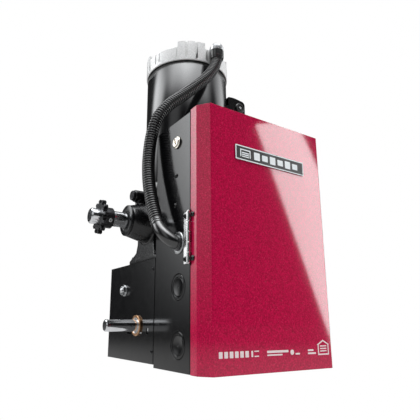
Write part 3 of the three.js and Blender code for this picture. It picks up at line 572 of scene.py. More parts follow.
def turned(profile, axis, centre, segments=48):
    """A turned piece: the profile is (radius, distance along the axis), closed on itself or the axis."""
    bm = bmesh.new()
    across = {"X": (Y, Z, X), "Y": (Z, X, Y), "Z": (X, Y, Z)}[axis]
    centre = Vector(centre)
    centre -= across[2] * centre.dot(across[2])
    rings = []
    for radius, along in profile:
        if radius < 1e-6:
            rings.append([bm.verts.new(centre + across[2] * along)])
            continue
        ring = []
        for i in range(segments):
            angle = 2 * math.pi * i / segments
            out = across[0] * math.cos(angle) + across[1] * math.sin(angle)
            ring.append(bm.verts.new(centre + out * radius + across[2] * along))
        rings.append(ring)
    on_axis = len(rings[0]) == 1 or len(rings[-1]) == 1
    pairs = list(zip(rings, rings[1:])) + ([] if on_axis else [(rings[-1], rings[0])])
    for one, two in pairs:
        if len(one) == 1 and len(two) == 1:
            continue
        for i in range(segments):
            j = (i + 1) % segments
            corners = [one[0]] if len(one) == 1 else [one[i], one[j]]
            corners += [two[0]] if len(two) == 1 else [two[j], two[i]]
            bm.faces.new(corners)
    bmesh.ops.recalc_face_normals(bm, faces=bm.faces)
    return bm


def rod(radius, low, high, axis, centre, segments=48, chamfer=0.0):
    c = chamfer
    profile = [(0, low), (radius - c, low), (radius, low + c), (radius, high - c), (radius - c, high),
               (0, high)]
    if not c:
        profile = [(0, low), (radius, low), (radius, high), (0, high)]
    return turned(profile, axis, centre, segments)


def merged(*shapes):
    """Several shapes in one piece, without joining their solids."""
    whole = bmesh.new()
    for shape in shapes:
        scratch = bpy.data.meshes.new("scratch")
        shape.to_mesh(scratch)
        shape.free()
        whole.from_mesh(scratch)
        bpy.data.meshes.remove(scratch)
    return whole


def moved(shape, matrix):
    bmesh.ops.transform(shape, matrix=matrix, verts=shape.verts)
    return shape


def evaluated(base, set_modifiers, helpers=()):
    """The base shape after modifiers, which may use the helper shapes."""
    objects = []
    for shape in (base, *helpers):
        mesh = bpy.data.meshes.new("scratch")
        shape.to_mesh(mesh)
        shape.free()
        made = bpy.data.objects.new("scratch", mesh)
        bpy.context.scene.collection.objects.link(made)
        objects.append(made)
    set_modifiers(objects[0], objects[1:])
    bpy.context.view_layer.update()
    result = bmesh.new()
    result.from_object(objects[0], bpy.context.evaluated_depsgraph_get())
    for made in objects:
        mesh = made.data
        bpy.data.objects.remove(made)
        bpy.data.meshes.remove(mesh)
    return result


def boolean(operation, base, tools):
    def modifiers(target, helpers):
        for helper in helpers:
            step = target.modifiers.new("boolean", "BOOLEAN")
            step.operation = operation
            step.solver = "EXACT"
            step.object = helper
    return evaluated(base, modifiers, tools)


def cut(base, *tools):
    return boolean("DIFFERENCE", base, tools)


def join(base, *others):
    return boolean("UNION", base, others)


def casting(shape, voxel, passes):
    """Joins overlapping solids into one skin and melts its inside corners into fillets."""
    def modifiers(target, _):
        remesh = target.modifiers.new("remesh", "REMESH")
        remesh.mode = "VOXEL"
        remesh.voxel_size = voxel
        smooth = target.modifiers.new("smooth", "SMOOTH")
        smooth.iterations = passes
        smooth.factor = 0.5
    return evaluated(shape, modifiers)


def piece(name, shape, look, body, stands_for=(), bevel=0.0, crease=38, steps=2):
    """Makes the shape an object in the row frame: its material, edge rounding, body and slot."""
    moved(shape, TO_ROW)
    bmesh.ops.recalc_face_normals(shape, faces=shape.faces)
    mesh = bpy.data.meshes.new(name)
    shape.to_mesh(mesh)
    shape.free()
    mesh.materials.append(LOOKS[look].material)
    mesh.polygons.foreach_set("use_smooth", [True] * len(mesh.polygons))
    made = bpy.data.objects.new(name, mesh)
    bpy.context.scene.collection.objects.link(made)
    if bevel:
        edge = made.modifiers.new("edges", "BEVEL")
        edge.width = bevel * MM
        edge.segments = steps
        edge.limit_method = "ANGLE"
        edge.angle_limit = math.radians(crease)
        edge.use_clamp_overlap = False
        normals = made.modifiers.new("normals", "WEIGHTED_NORMAL")
        normals.keep_sharp = True
    else:
        mesh.set_sharp_from_angle(angle=math.radians(crease))
    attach(made, body)
    if stands_for:
        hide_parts(*stands_for)
    return made


def around(count, radius, first=0.0):
    """Places round a circle, the first at this angle in radians."""
    angles = [first + 2 * math.pi * i / count for i in range(count)]
    return [(radius * math.cos(a), radius * math.sin(a)) for a in angles]


def head(kind, radius, height, turn=0.0):
    """A screw or bolt head standing on the XY plane at the origin, its recess facing +Z."""
    six = around(6, radius)
    if kind == "hex":
        blank = prism(six, 0, height, "Z")
        crown = turned([(0, -1), (radius * 1.02, -1), (radius * 1.02, height * 0.8),
                        (radius * 0.86, height),
                        (0, height)], "Z", (0, 0, 0), 36)
        shape = boolean("INTERSECT", blank, [crown])
        shape = merged(shape, turned([(0, -0.01), (radius * 1.25, -0.01), (radius * 1.25, height * 0.16),
                                      (0, height * 0.16)], "Z", (0, 0, 0), 36))
    else:
        dome = [(0, -0.01), (radius, -0.01), (radius, height * 0.3), (radius * 0.93, height * 0.62),
                (radius * 0.72, height * 0.9), (radius * 0.45, height), (0, height)]
        shape = turned(dome, "Z", (0, 0, 0), 32)
        deep, wide = height * 0.45, radius * 0.16
        if kind == "socket":
            small = [(a * 0.48, b * 0.48) for a, b in six]
            shape = cut(shape, prism(small, deep, height + 1, "Z"))
        if kind in ("cross", "slot"):
            reach = radius * (0.62 if kind == "cross" else 1.1)
            shape = cut(shape, box(-reach, reach, -wide, wide, deep, height + 1))
        if kind == "cross":
            shape = cut(shape, box(-wide, wide, -reach, reach, deep, height + 1))
    return moved(shape, Matrix.Rotation(turn, 4, "Z"))


def fasteners(name, kind, places, facing, radius, height, look, body, stands_for=()):
    """Identical screws at these places, all facing one way, as one piece."""
    facing = Vector(facing)
    tilt = Z.rotation_difference(facing).to_matrix().to_4x4()
    heads = []
    for i, place in enumerate(places):
        heads.append(moved(head(kind, radius, height, 0.5 + 1.3 * i), Matrix.Translation(place) @ tilt))
    return piece(name, merged(*heads), look, body, stands_for, crease=32)


# ---------------------------------------------------------------- swept tubes

def centripetal(route, per_leg):
    """Points of the centripetal Catmull-Rom curve through the route."""
    p = [Vector(q) for q in route]
    p = [2 * p[0] - p[1], *p, 2 * p[-1] - p[-2]]
    curve = []
    for a, b, c, d in zip(p, p[1:], p[2:], p[3:]):
        t = [0.0]
        for one, two in ((a, b), (b, c), (c, d)):
            t.append(t[-1] + math.sqrt((two - one).length))
        for k in range(per_leg):
            s = t[1] + (t[2] - t[1]) * k / per_leg
            ab = a * (t[1] - s) / (t[1] - t[0]) + b * (s - t[0]) / (t[1] - t[0])
            bc = b * (t[2] - s) / (t[2] - t[1]) + c * (s - t[1]) / (t[2] - t[1])
            cd = c * (t[3] - s) / (t[3] - t[2]) + d * (s - t[2]) / (t[3] - t[2])
            abc = ab * (t[2] - s) / (t[2] - t[0]) + bc * (s - t[0]) / (t[2] - t[0])
            bcd = bc * (t[3] - s) / (t[3] - t[1]) + cd * (s - t[1]) / (t[3] - t[1])
            curve.append(abc * (t[2] - s) / (t[2] - t[1]) + bcd * (s - t[1]) / (t[2] - t[1]))
    return [*curve, p[-2]]


def spaced(points, step):
    """The same line with points at an even distance, both ends kept."""
    lengths = [0.0]
    for one, two in zip(points, points[1:]):
        lengths.append(lengths[-1] + (two - one).length)
    count = max(2, round(lengths[-1] / step))
    even, leg = [], 0
    for i in range(count + 1):
        goal = lengths[-1] * i / count
        while leg < len(points) - 2 and lengths[leg + 1] < goal:
            leg += 1
        share = (goal - lengths[leg]) / max(1e-9, lengths[leg + 1] - lengths[leg])
        even.append(points[leg].lerp(points[leg + 1], share))
    return even


def sweep(points, radius_at, segments=20, capped=True):
    """A tube along the points, its radius a function of the point's number."""
    bm = bmesh.new()
    side = None
    rings = []
    for i, point in enumerate(points):
        ahead = (points[min(i + 1, len(points) - 1)] - points[max(i - 1, 0)]).normalized()
        if side is None:
            side = ahead.cross(Z if abs(ahead.z) < 0.9 else X).normalized()
        side = (side - ahead * side.dot(ahead)).normalized()
        over = ahead.cross(side)
        ring = []
        for k in range(segments):
            angle = 2 * math.pi * k / segments
            out = side * math.cos(angle) + over * math.sin(angle)
            ring.append(bm.verts.new(point + out * radius_at(i)))
        rings.append(ring)
    for one, two in zip(rings, rings[1:]):
        for k in range(segments):
            j = (k + 1) % segments
            bm.faces.new((one[k], one[j], two[j], two[k]))
    if capped:
        bm.faces.new(rings[0])
        bm.faces.new(rings[-1])
    bmesh.ops.recalc_face_normals(bm, faces=bm.faces)
    return bm


# ---------------------------------------------------------------- conduit (before everything else)

CONDUIT_ROUTE = [
    (122, 128, 577), (121.6, 128, 566), (115, 127, 547), (97, 125.5, 519), (70, 124, 489.5),
    (46, 124, 465), (13, 126.5, 433), (-5.5, 130.5, 404), (-13, 134.5, 372), (-17, 134.2, 338.4),
    (-19.6, 129.6, 307.6), (-21.2, 120.9, 276.8), (-21.6, 107.4, 243.4), (-21.6, 99.6, 227.8),
    (-21.6, 93.2, 216.1),
]
CONDUIT_RADIUS = 10.6
RIB_PITCH = 4.6
RIB_SHAPE = (0.0, 0.0, 0.0, 0.5, 0.93, 1.0, 1.0, 1.0, 0.93, 0.5)
RIB_DEPTH = 2.8
ELBOW_ROUTE = [
    (-21.6, 92.9, 215.5), (-21.2, 89, 208.8), (-20.4, 83.2, 201.2), (-18, 76.6, 193.6),
    (-13.6, 70.6, 186.8),
    (-8, 66.6, 182), (-2, 65, 180), (3, 65, 180), (8, 65, 180),
]


def make_conduit():
    """The corrugated run: glossy crests, with darker, duller grooves between them as painted shade."""
    steps = len(RIB_SHAPE)
    line = spaced(centripetal(CONDUIT_ROUTE, 30), RIB_PITCH / steps)
    radius = lambda i: CONDUIT_RADIUS - RIB_DEPTH * (1 - RIB_SHAPE[i % steps])
    sides = 32
    tube = sweep(line, radius, sides)
    made = piece("conduit_corrugated", tube, "conduit_black", "root", ["conduit"], crease=75)
    # The groove faces take the darker groove material: painted shade in the valleys, not a second colour of
    # the conduit.
    made.data.materials.append(LOOKS["conduit_groove_painted_shade"].material)
    for face in made.data.polygons:
        ring = face.index // sides
        height = max(RIB_SHAPE[ring % steps], RIB_SHAPE[(ring + 1) % steps])
        face.material_index = 1 if height <= 0.5 else 0
    return made


def make_elbow():
    """The smooth end bend into the cabinet: two cuff rings over the conduit and a collar at the wall."""
    step = 0.8
    line = spaced(centripetal(ELBOW_ROUTE, 12), step)
    cuff = [10.3, 10.4, 10.4, 10.4, 10.0, 10.3, 10.4, 10.4, 10.4, 10.3, 9.8]

    def radius(i):
        return cuff[i] if i < len(cuff) else 9.75 + 0.55 * min(1, i / len(line) * 1.6)
    tube = sweep(line, radius, 36)
    collar = turned([(9.9, -6.5), (11.4, -6.5), (12, -5.9), (12, -3.2), (11.4, -2.5), (9.9, -2.5)], "X",
                    middle("gland_washer"), 56)
    piece("conduit_elbow_smooth", merged(tube, collar), "conduit_black", "root", ["conduit_elbow"],
          crease=42)


# ---------------------------------------------------------------- cover

def cover_outline(inset, back):
    high = span("front_cover")[1]
    depth, width = high.y, high.x
    slant = inset * 0.45
    chamfer_x, chamfer_y = 13.4, 17.7
    corners = [
        (inset, depth + back), (inset, chamfer_y + slant), (chamfer_x + slant, inset),
        (width - chamfer_x - slant, inset), (width - inset, chamfer_y + slant),
        (width - inset, depth + back),
    ]
    bend = max(0.6, 2.6 - inset)
    return rounded(corners, [0, bend, bend, bend, bend, 0], 5)


def make_cover():
    low, high = span("front_cover")
    sheet = 2.0
    hinge_low, hinge_high = span("hinge_leaf_cover")
    latch = middle("cover_latch")
    skin = prism(cover_outline(0, 0), low.z, high.z, "Z")
    inside = prism(cover_outline(sheet, 1), low.z + sheet, high.z - sheet, "Z")
    notch = box(-1, sheet + 2.4, high.y - 2.2, high.y + 1, hinge_low.z - 2.6, hinge_high.z + 2.6)
    hole = rod(6.4, high.x - sheet - 1, high.x + 1, "X", LATCH_AXIS, 48)
    piece("cover_skin", cut(skin, inside, notch, hole), "red_paint", "cover", ["front_cover"], bevel=0.5)
    seal = 5.0
    inner = rectangle(sheet + 3.5 + seal, high.x - sheet - 3.5 - seal, low.z + 3 + seal, high.z - 3 - seal,
                      6)
    outer = rectangle(sheet + 3.5, high.x - sheet - 3.5, low.z + 3, high.z - 3, 6)
    gasket = cut(prism(outer, 28.4, 32.4, "Y"), prism(inner, 27, 34, "Y"),
                 box(0, 9.5, 27, 34, hinge_low.z - 3, hinge_high.z + 3),
                 box(high.x - 12, high.x, 27, 34, latch.z - 24, latch.z + 24))
    piece("cover_gasket", gasket, "rubber", "cover", bevel=0.4)
    # stiffening channel spot-welded behind the front
    channel = cut(box(30, high.x - 30, 2.3, 12, 182, 200), box(29, high.x - 29, 3.9, 13, 183.6, 198.4))
    piece("cover_stiffener", channel, "zinc_plate", "cover", bevel=0.3)


def bars(rows, y0, y1):
    """Flat printed shapes on the cover's front: each is (x0, x1, z0, z1, corner)."""
    return merged(*[prism(rectangle(x0, x1, z0, z1, corner, 4), y0, y1, "Y")
                    for x0, x1, z0, z1, corner in rows])


def make_badge():
    """A black plate with a silver border and a plain sectional-door pictogram with rules beside it."""
    low, high = span("badge_plate")
    rim = 1.6
    front = low.y
    plate = prism(rectangle(low.x, high.x, low.z, high.z, 1.2), front + 0.35, high.y, "Y")
    piece("badge_base", plate, "black_plastic", "cover", ["badge_plate"], bevel=0.15)
    border = cut(prism(rectangle(low.x, high.x, low.z, high.z, 1.2), front, front + 0.36, "Y"),
                 prism(rectangle(low.x + rim, high.x - rim, low.z + rim, high.z - rim, 0.8), front - 1,
                       front + 1, "Y"))
    piece("badge_border", border, "silver_ink", "cover", crease=30)
    x0, z0, z1 = low.x + 9, low.z + 5.2, high.z - 5.2
    tall = z1 - z0
    rows = [(x0, x0 + 1.8, z0, z1, 0), (x0 + 18.2, x0 + 20, z0, z1, 0),
            (x0 + 1.8, x0 + 18.2, z1 - 1.8, z1, 0)]
    rows += [(x0 + 3.2, x0 + 16.8, z0 + i * 3.0, z0 + i * 3.0 + 1.7, 0) for i in range(3)]
    start = x0 + 27
    end = high.x - 9
    count = 6
    pitch = (end - start) / count
    for i in range(count):
        foot = z0 + tall * 0.12 * (i % 2)
        rows.append((start + i * pitch, start + (i + 0.72) * pitch, foot, z1 - tall * 0.12 * (i % 2), 1.0))
    piece("badge_pictogram", bars(rows, front + 0.12, front + 0.36), "silver_ink", "cover", crease=30)


def make_printed_marks():
    """Three plain printed groups along the foot of the cover, without any lettering."""
    thickness = 0.10
    base = 22.0
    left = [(22 + i * 8.8, 22 + i * 8.8 + 6.0, base, base + 8.2, 0.8) for i in range(6)]
    left += [(76.5, 79.5, base, base + 8.2, 0.8), (82, 90, base, base + 1.6, 0.5),
             (82, 90, base + 6.6, base + 8.2, 0.5)]
    centre = [(105, 134, base + 0.4, base + 2.4, 0.8), (105, 146, base + 4.2, base + 7.4, 0.8),
              (150, 157, base + 0.4, base + 7.4, 3.0), (160, 169, base + 0.4, base + 2.6, 0.8)]
    right = [(186, 203, base, base + 2.4, 0.8), (186, 198, base + 4.4, base + 6.8, 0.8),
             (208, 232, base - 2, base, 0), (208, 210, base, base + 13, 0), (230, 232, base, base + 13, 0)]
    right += [(213, 227, base + 3 + 3.6 * i, base + 4.6 + 3.6 * i, 0) for i in range(3)]
    for name, rows in (("left", left), ("centre", centre), ("right", right)):
        piece(f"printed_marks_{name}", bars(rows, -thickness, -0.005), "pale_ink", "cover", crease=30)
    roof = prism([(206, base + 13), (220, base + 20), (234, base + 13), (230, base + 13), (220, base + 18),
                  (210, base + 13)], -thickness, -0.005, "Y")
    piece("printed_roof", roof, "pale_ink", "cover", crease=30)


def make_latch():
    low, high = span("cover_latch")
    centre = LATCH_AXIS
    face = high.x
    side = 252.0
    top = turned([(0, side + 0.4), (8.5, side + 0.4), (8.5, face - 1.0), (7.7, face), (6.6, face),
                  (6.2, face - 0.5),
                  (0, face - 0.5)], "X", centre, 48)
    top = cut(top,
              box(face - 1.7, face + 1, centre.y - 0.9, centre.y + 0.9, centre.z - 5.4, centre.z + 5.4))
    barrel = rod(6, low.x, side + 0.6, "X", centre, 40, 0.3)
    hook = prism(rounded([(21, 186.5), (42, 186.5), (42, 199), (37, 199), (37, 193.5), (21, 193.5)],
                         [0, 2, 1, 1, 1, 0]), low.x, low.x + 2, "X")
    piece("latch_cam", join(barrel, hook, top), "nickel", "latch", ["cover_latch"], bevel=0.15)


# ---------------------------------------------------------------- hinge

def hinge_knuckles(first, low, high, centre_x, centre_y, radius):
    count = 5
    pitch = (high - low) / count
    rolls = []
    for i in range(first, count, 2):
        z0, z1 = low + i * pitch + 0.2, low + (i + 1) * pitch - 0.2
        rolls.append(rod(radius, z0, z1, "Z", (centre_x, centre_y, 0), 28, 0.3))
    return rolls


def make_hinge():
    low, high = span("hinge_leaf_box")
    foot, top = span("hinge_leaf_cover")[0].z, span("hinge_leaf_cover")[1].z
    centre = (-3.2, 33.2)
    leaf = 1.4
    plate = prism(rectangle(centre[1] + 3.6, high.y, foot, top, 1.6), -0.3 - leaf, -0.3, "X")
    pitch = (top - foot) / 5
    tabs = [box(-0.3 - leaf, -0.3, centre[1], centre[1] + 4.4, foot + i * pitch + 0.2,
                foot + (i + 1) * pitch - 0.2)
            for i in (0, 2, 4)]
    pin = rod(1.3, low.z, high.z, "Z", (*centre, 0), 20, 0.3)
    rolls = hinge_knuckles(0, foot, top, *centre, 2.9)
    piece("hinge_leaf_fixed", join(plate, *tabs, *rolls, pin), "hinge_steel", "root", ["hinge_leaf_box"],
          bevel=0.25)
    inner = 2.3
    inside = prism(rectangle(19, centre[1] - 0.3, foot, top, 1.6), inner, inner + leaf, "X")
    tabs = [box(centre[0], inner + 0.5, centre[1] - 0.3 - leaf, centre[1] - 0.3,
                foot + i * pitch + 0.2, foot + (i + 1) * pitch - 0.2) for i in (1, 3)]
    swing = join(inside, *tabs, *hinge_knuckles(1, foot, top, *centre, 2.9))
    swing = cut(swing, rod(1.7, foot - 3, top + 3, "Z", (*centre, 0), 20))
    piece("hinge_leaf_swing", swing, "hinge_steel", "cover", ["hinge_leaf_cover"], bevel=0.2)
    rows = (foot + 6.5, top - 5.5)
    fasteners("hinge_screws_fixed", "socket", [(-1.7, 42.6, z) for z in rows], -X, 3.9, 2.4, "screw_black",
              "root")
    fasteners("hinge_screws_cover", "socket", [(0, 26.5, z) for z in rows], -X, 3.9, 2.4, "screw_black",
              "cover")
    fasteners("hinge_nuts_cover", "hex", [(inner + leaf, 26.2, z) for z in rows], X, 3.6, 2.6,
              "zinc_plate", "cover")


# ---------------------------------------------------------------- cabinet

def make_cabinet():
    low, high = span("enclosure_box")
    sheet, lip = 2.0, 11.0
    jack, gland = middle("antenna_jack"), middle("gland_washer")
    knock = [middle("knockout_upper"), middle("knockout_lower")]
    gear = span("shaft_gear")
    shell = prism(rectangle(low.x, high.x, low.y, high.y, 2.2), low.z, high.z, "Z")
    inside = prism(rectangle(low.x + sheet, high.x - sheet, low.y + sheet, high.y - sheet, 1.0),
                   low.z + sheet, high.z - sheet, "Z")
    mouth = prism(rectangle(lip, high.x - lip, low.z + lip, high.z - lip, 4), low.y - 1, low.y + sheet + 1,
                  "Y")

    def hole(radius, centre):
        return rod(radius, -1, sheet + 1, "X", centre, 64)
    slot = box(gear[0].x - 3, gear[1].x + 3, high.y - sheet - 1, high.y + 1, 35, 89)
    notch = box(high.x - lip - 1, high.x - sheet, low.y - 1, low.y + sheet + 1, 170, 195)
    shape = cut(shell, inside, mouth, slot, notch, hole(19.25, knock[0]), hole(19.25, knock[1]),
                hole(6.3, jack), hole(11.2, gland))
    piece("cabinet_shell", shape, "black_paint", "root", ["enclosure_box"], bevel=0.45)
    for name, centre in zip(("upper", "lower"), knock):
        make_knockout(name, centre, sheet)
    places = [(0, 73.5, 286.5), (0, 74.7, 238.8)]
    fasteners("cabinet_screws", "socket", places, -X, 3.6, 2.2, "screw_black", "root")
    fasteners("cabinet_screws_right", "socket", [(high.x, y, z) for _, y, z in places], X, 3.6, 2.2,
              "screw_black", "root")


def make_knockout(name, centre, sheet):
    """Two punched rings held by small ties, and the punch mark in the middle."""
    outer, inner, gap = 18.4, 14.2, 0.5
    ring = turned([(inner + gap, 0.3), (inner + gap + 0.5, 0), (outer - 0.8, 0), (outer - 0.2, 0.35),
                   (outer, 0.9),
                   (outer, sheet), (inner + gap, sheet)], "X", centre, 72)
    disc = turned([(0, 0.9), (0.9, 0.9), (1.7, 0.25), (inner - 2.2, 0.25), (inner - 1.3, 0.0),
                   (inner - gap - 0.3, 0.1), (inner - gap, 0.6), (inner - gap, sheet), (0, sheet)], "X",
                  centre, 72)
    ties = []
    for degrees in (50, 230):
        tie = box(0.3, sheet, -1.6, 1.6, inner - 1.0, inner + 1.0)
        tie = moved(tie, Matrix.Rotation(math.radians(degrees), 4, "X"))
        ties.append(moved(tie, Matrix.Translation((0, centre.y, centre.z))))
    piece(f"knockout_{name}_plug", merged(ring, disc, *ties), "black_paint", "root", [f"knockout_{name}"],
          crease=30)


def make_jack():
    """A round socket with a slanting slot across its face, on a flange."""
    centre = middle("antenna_jack")
    body = turned([(3.2, 7), (5.9, 7), (5.9, -0.4), (9.4, -0.4), (9.8, -0.8), (9.8, -2.2), (9.3, -2.6),
                   (8.1, -2.7),
                   (7.7, -3.1), (7.6, -4.1), (7.1, -4.6), (2.2, -4.6), (2.2, -3), (3.2, -3)], "X", centre,
                  56)
    slot = moved(box(-6, -3.4, -1.5, 1.5, -6, 6), Matrix.Rotation(math.radians(-18), 4, "X"))
    slot = moved(slot, Matrix.Translation((0, centre.y, centre.z)))
    piece("jack_body", cut(body, slot), "nickel", "root", ["antenna_jack"], bevel=0.25)
    piece("jack_insulator", turned([(0, -2.9), (2.9, -2.9), (2.9, 6), (0, 6)], "X", centre, 24),
          "black_plastic", "root")
    piece("jack_contact", rod(0.8, -4.2, -2.8, "X", centre, 16, 0.2), "bronze", "root")


def make_gland():
    centre = middle("gland_washer")
    low, high = span("gland_washer")
    radius = (high.y - low.y) / 2
    washer = turned([(11, low.x + 0.2), (11.3, low.x), (radius - 0.4, low.x), (radius, low.x + 0.3),
                     (radius, high.x),
                     (11, high.x)], "X", centre, 64)
    piece("gland_washer_plate", washer, "zinc_plate", "root", ["gland_washer"], crease=50)
    low, high = span("conduit_locknut")
    ring = turned([(11, low.x), (14.6, low.x), (15, low.x + 0.4), (15, high.x - 0.4), (14.6, high.x),
                   (11, high.x)],
                  "X", centre, 48)
    lugs = []
    for i in range(6):
        lug = prism([(-2.2, 13), (2.2, 13), (1.4, 17.4), (-1.4, 17.4)], low.x, high.x, "X")
        turned_lug = moved(lug, Matrix.Rotation(math.pi / 3 * i, 4, "X"))
        lugs.append(moved(turned_lug, Matrix.Translation((0, centre.y, centre.z))))
    piece("locknut_lugged", join(ring, *lugs), "zinc_plate", "root", ["conduit_locknut"], bevel=0.3)


# ---------------------------------------------------------------- lower drive housing

def make_housing():
    low, high = span("drive_housing")
    sheet = 2.0
    shaft = middle("lower_shaft")
    stud = middle("side_stud")
    gear = span("shaft_gear")
    shell = prism(rectangle(low.x, high.x, low.y, high.y, 1.6), low.z, high.z, "Z")
    inside = box(low.x + sheet, high.x - sheet, low.y + sheet, high.y - sheet, low.z - 1, high.z - sheet)
    tools = [
        box(gear[0].x - 3, gear[1].x + 3, low.y - 1, low.y + sheet + 1, shaft.z - 27, shaft.z + 27),
        box(218, 236, 146, 231, high.z - sheet - 1, high.z + 1),
        rod(13.8, -1, high.x + 1, "X", shaft, 64),
        prism(rectangle(177, 237, 48.4, 51, 1.2), -1, sheet + 1, "X"),
        prism(rectangle(155.5, 160.5, 48.3, 58.6, 0.8), -1, sheet + 1, "X"),
        rod(4.4, -1, sheet + 1, "X", stud, 32),
    ]
    piece("housing_shell", cut(shell, inside, *tools), "black_paint", "root", ["drive_housing"], bevel=0.4)
    idler = middle("idler_gear")
    pin = turned([(0, sheet - 0.5), (8, sheet - 0.5), (8, 24.4), (7.4, 25), (4.8, 25), (4.8, 42.4),
                  (4.2, 43), (0, 43)],
                 "X", idler, 40)
    piece("idler_pin", pin, "bright_steel", "root", crease=40)
    fasteners("housing_screws", "cross", [(0, 142.5, 23.7), (0, 142.5, 150)], -X, 2.7, 1.5, "black_oxide",
              "root")
    right = [(high.x, 142.5, 23.7), (high.x, 142.5, 150), (high.x, 300, 23.7), (high.x, 300, 150)]
    fasteners("housing_screws_right", "cross", right, X, 2.7, 1.5, "black_oxide", "root")
    # turned-in flange round the open bottom
    flange = cut(box(low.x + 2.3, high.x - 2.3, low.y + 2.3, high.y - 2.3, low.z + 0.2, low.z + 1.7),
                 box(low.x + 11, high.x - 11, low.y + 11, high.y - 11, low.z - 1, low.z + 3))
    piece("housing_flange", flange, "black_paint", "root", bevel=0.2)


def make_bearing(name, side):
    """Copper-coloured flange with a grey pressed insert round the shaft."""
    centre = middle("lower_shaft")
    low, high = span(name)
    wall = 0.0 if side < 0 else span("drive_housing")[1].x
    at = lambda distance: wall + side * distance
    radius = (high.y - low.y) / 2
    flange = turned([(12.8, at(3.0)), (13.2, at(3.3)), (radius - 0.6, at(3.3)), (radius, at(2.7)),
                     (radius, at(0.5)),
                     (12.8, at(0.5))], "X", centre, 64)
    piece(f"{name}_flange", flange, "bronze", "root", [name], crease=35)
    insert = turned([(9.75, at(2.3)), (10.4, at(2.9)), (11.3, at(2.9)), (11.6, at(2.4)), (12.1, at(2.4)),
                     (12.7, at(2.8)), (12.7, at(-8)), (9.75, at(-8))], "X", centre, 64)
    piece(f"{name}_insert", insert, "zinc_plate", "root", crease=30)


def keyed_shaft(low, high, centre, radius, chamfer, keyway):
    profile = [(0, low), (radius - chamfer, low), (radius, low + chamfer), (radius, high - 0.6),
               (radius - 0.6, high),
               (0, high)]
    return cut(turned(profile, "X", centre, 96), keyway)


def make_lower_shaft():
    low, high = span("lower_shaft")
    centre = LOWER_AXIS
    radius = 9.525
    way = prism(rectangle(low.x + 4, low.x + 34, centre.y - 2.4, centre.y + 2.4, 2.3),
                centre.z + radius - 2.6,
                centre.z + radius + 1, "Z")
    piece("lower_shaft_bar", keyed_shaft(low.x, high.x, centre, radius, 1.5, way), "bright_steel", "lower",
          ["lower_shaft"], crease=25)


def make_stud():
    low, high = span("side_stud")
    centre = middle("side_stud")
    thread = [(0, low.x), (3.2, low.x), (4, low.x + 0.8)]
    x = low.x + 0.8
    while x < -7.2:
        thread += [(4, x + 0.3), (3.5, x + 0.65)]
        x += 1.0
    thread += [(3.6, high.x), (0, high.x)]
    piece("stud_thread", turned(thread, "X", centre, 32), "zinc_plate", "root", ["side_stud"], crease=50)

    def nut(x0, x1, radius):
        six = [(centre.y + a, centre.z + b) for a, b in around(6, radius, 0.3)]
        crown = turned([(3.3, x0), (radius * 0.87, x0), (radius * 1.01, x0 + 0.9), (radius * 1.01, x1),
                        (3.3, x1)],
                       "X", centre, 40)
        return boolean("INTERSECT", prism(six, x0, x1, "X"), [crown])
    piece("stud_nut", nut(-7, -1.7, 8.6), "zinc_plate", "root", bevel=0.2)
    piece("stud_nut_inner", nut(2.4, 8, 9), "zinc_plate", "root", bevel=0.2)
    piece("stud_washer", turned([(4, -1.7), (10, -1.7), (10, -0.4), (4, -0.4)], "X", centre, 48),
          "zinc_plate", "root",
          bevel=0.2)


# ---------------------------------------------------------------- gearbox

FILLER_Z = 278.2


def make_gearbox():
    shaft = OUTPUT_AXIS
    motor = middle("motor_shell")
    barrel = 41.4
    ring = lambda *profile: turned(list(profile), "X", shaft, 72)
    neck = prism(rounded([(146, 175), (243, 175), (227, 179), (217, 186), (211, 198), (211, 232),
                          (157, 232),
                          (157, 203), (153, 187)], [0, 0, 6, 8, 6, 0, 0, 6, 4]), 6.5, 136, "X")
    flank = [prism([(150, 175), (242, 175), (219, 186), (214, 200), (214, 232), (154, 232), (154, 200)],
                   x0, x1, "X")
             for x0, x1 in ((5.2, 11), (126, 132))]
    parts = [
        box(4.6, 205.4, 142.6, 244.4, 167.9, 175),
        neck, *flank,
        ring((12, -31), (25.5, -31), (26.5, -29), (barrel, 31), (barrel, 141), (12, 141)),
        rod(24.6, 186, 291, "Z", motor, 48),
        rod(73.6, 283.4, 291.4, "Z", motor, 72),
        rod(7.8, shaft.z + 20, FILLER_Z, "Z", (-9, shaft.y, 0), 24),
        rod(10.4, -20.8, 4.6, "X", (0, shaft.y, FILLER_Z), 40),
    ]
    voxel = 1.1
    body = casting(merged(*parts), voxel, 4)
    bore = rod(13.3, -40, 150, "X", shaft, 48)
    worm_well = rod(18.2, 197, 293, "Z", motor, 48)
    wheel_well = rod(38, 101, 144, "X", shaft, 64)
    piece("gearbox_casting", cut(body, bore, worm_well, wheel_well), "cast_black", "root",
          ["gearbox_housing"], crease=45)
    # machined nose with its raised rim and the shaft seal
    nose = ring((16.4, -33.2), (17.2, -33.9), (24.8, -33.9), (26.1, -33.0), (26.3, -30.4), (16.4, -30.4))
    piece("gearbox_nose", nose, "cast_black", "root", crease=35)
    seal = ring((12.95, -32.4), (13.6, -33.0), (14.4, -32.2), (15.2, -32.2), (15.8, -32.9), (16.3, -32.9),
                (16.3, -30.6),
                (12.95, -30.6))
    piece("gearbox_seal", seal, "rubber", "root", crease=35)
    feet = [(x, y, 176.3) for x in (12, 196) for y in (151.5, 235)]
    fasteners("gearbox_foot_bolts", "hex", feet, Z, 6.2, 4.6, "black_oxide", "root")
    make_gearbox_cover(shaft, barrel)
    make_filler_plug(shaft)


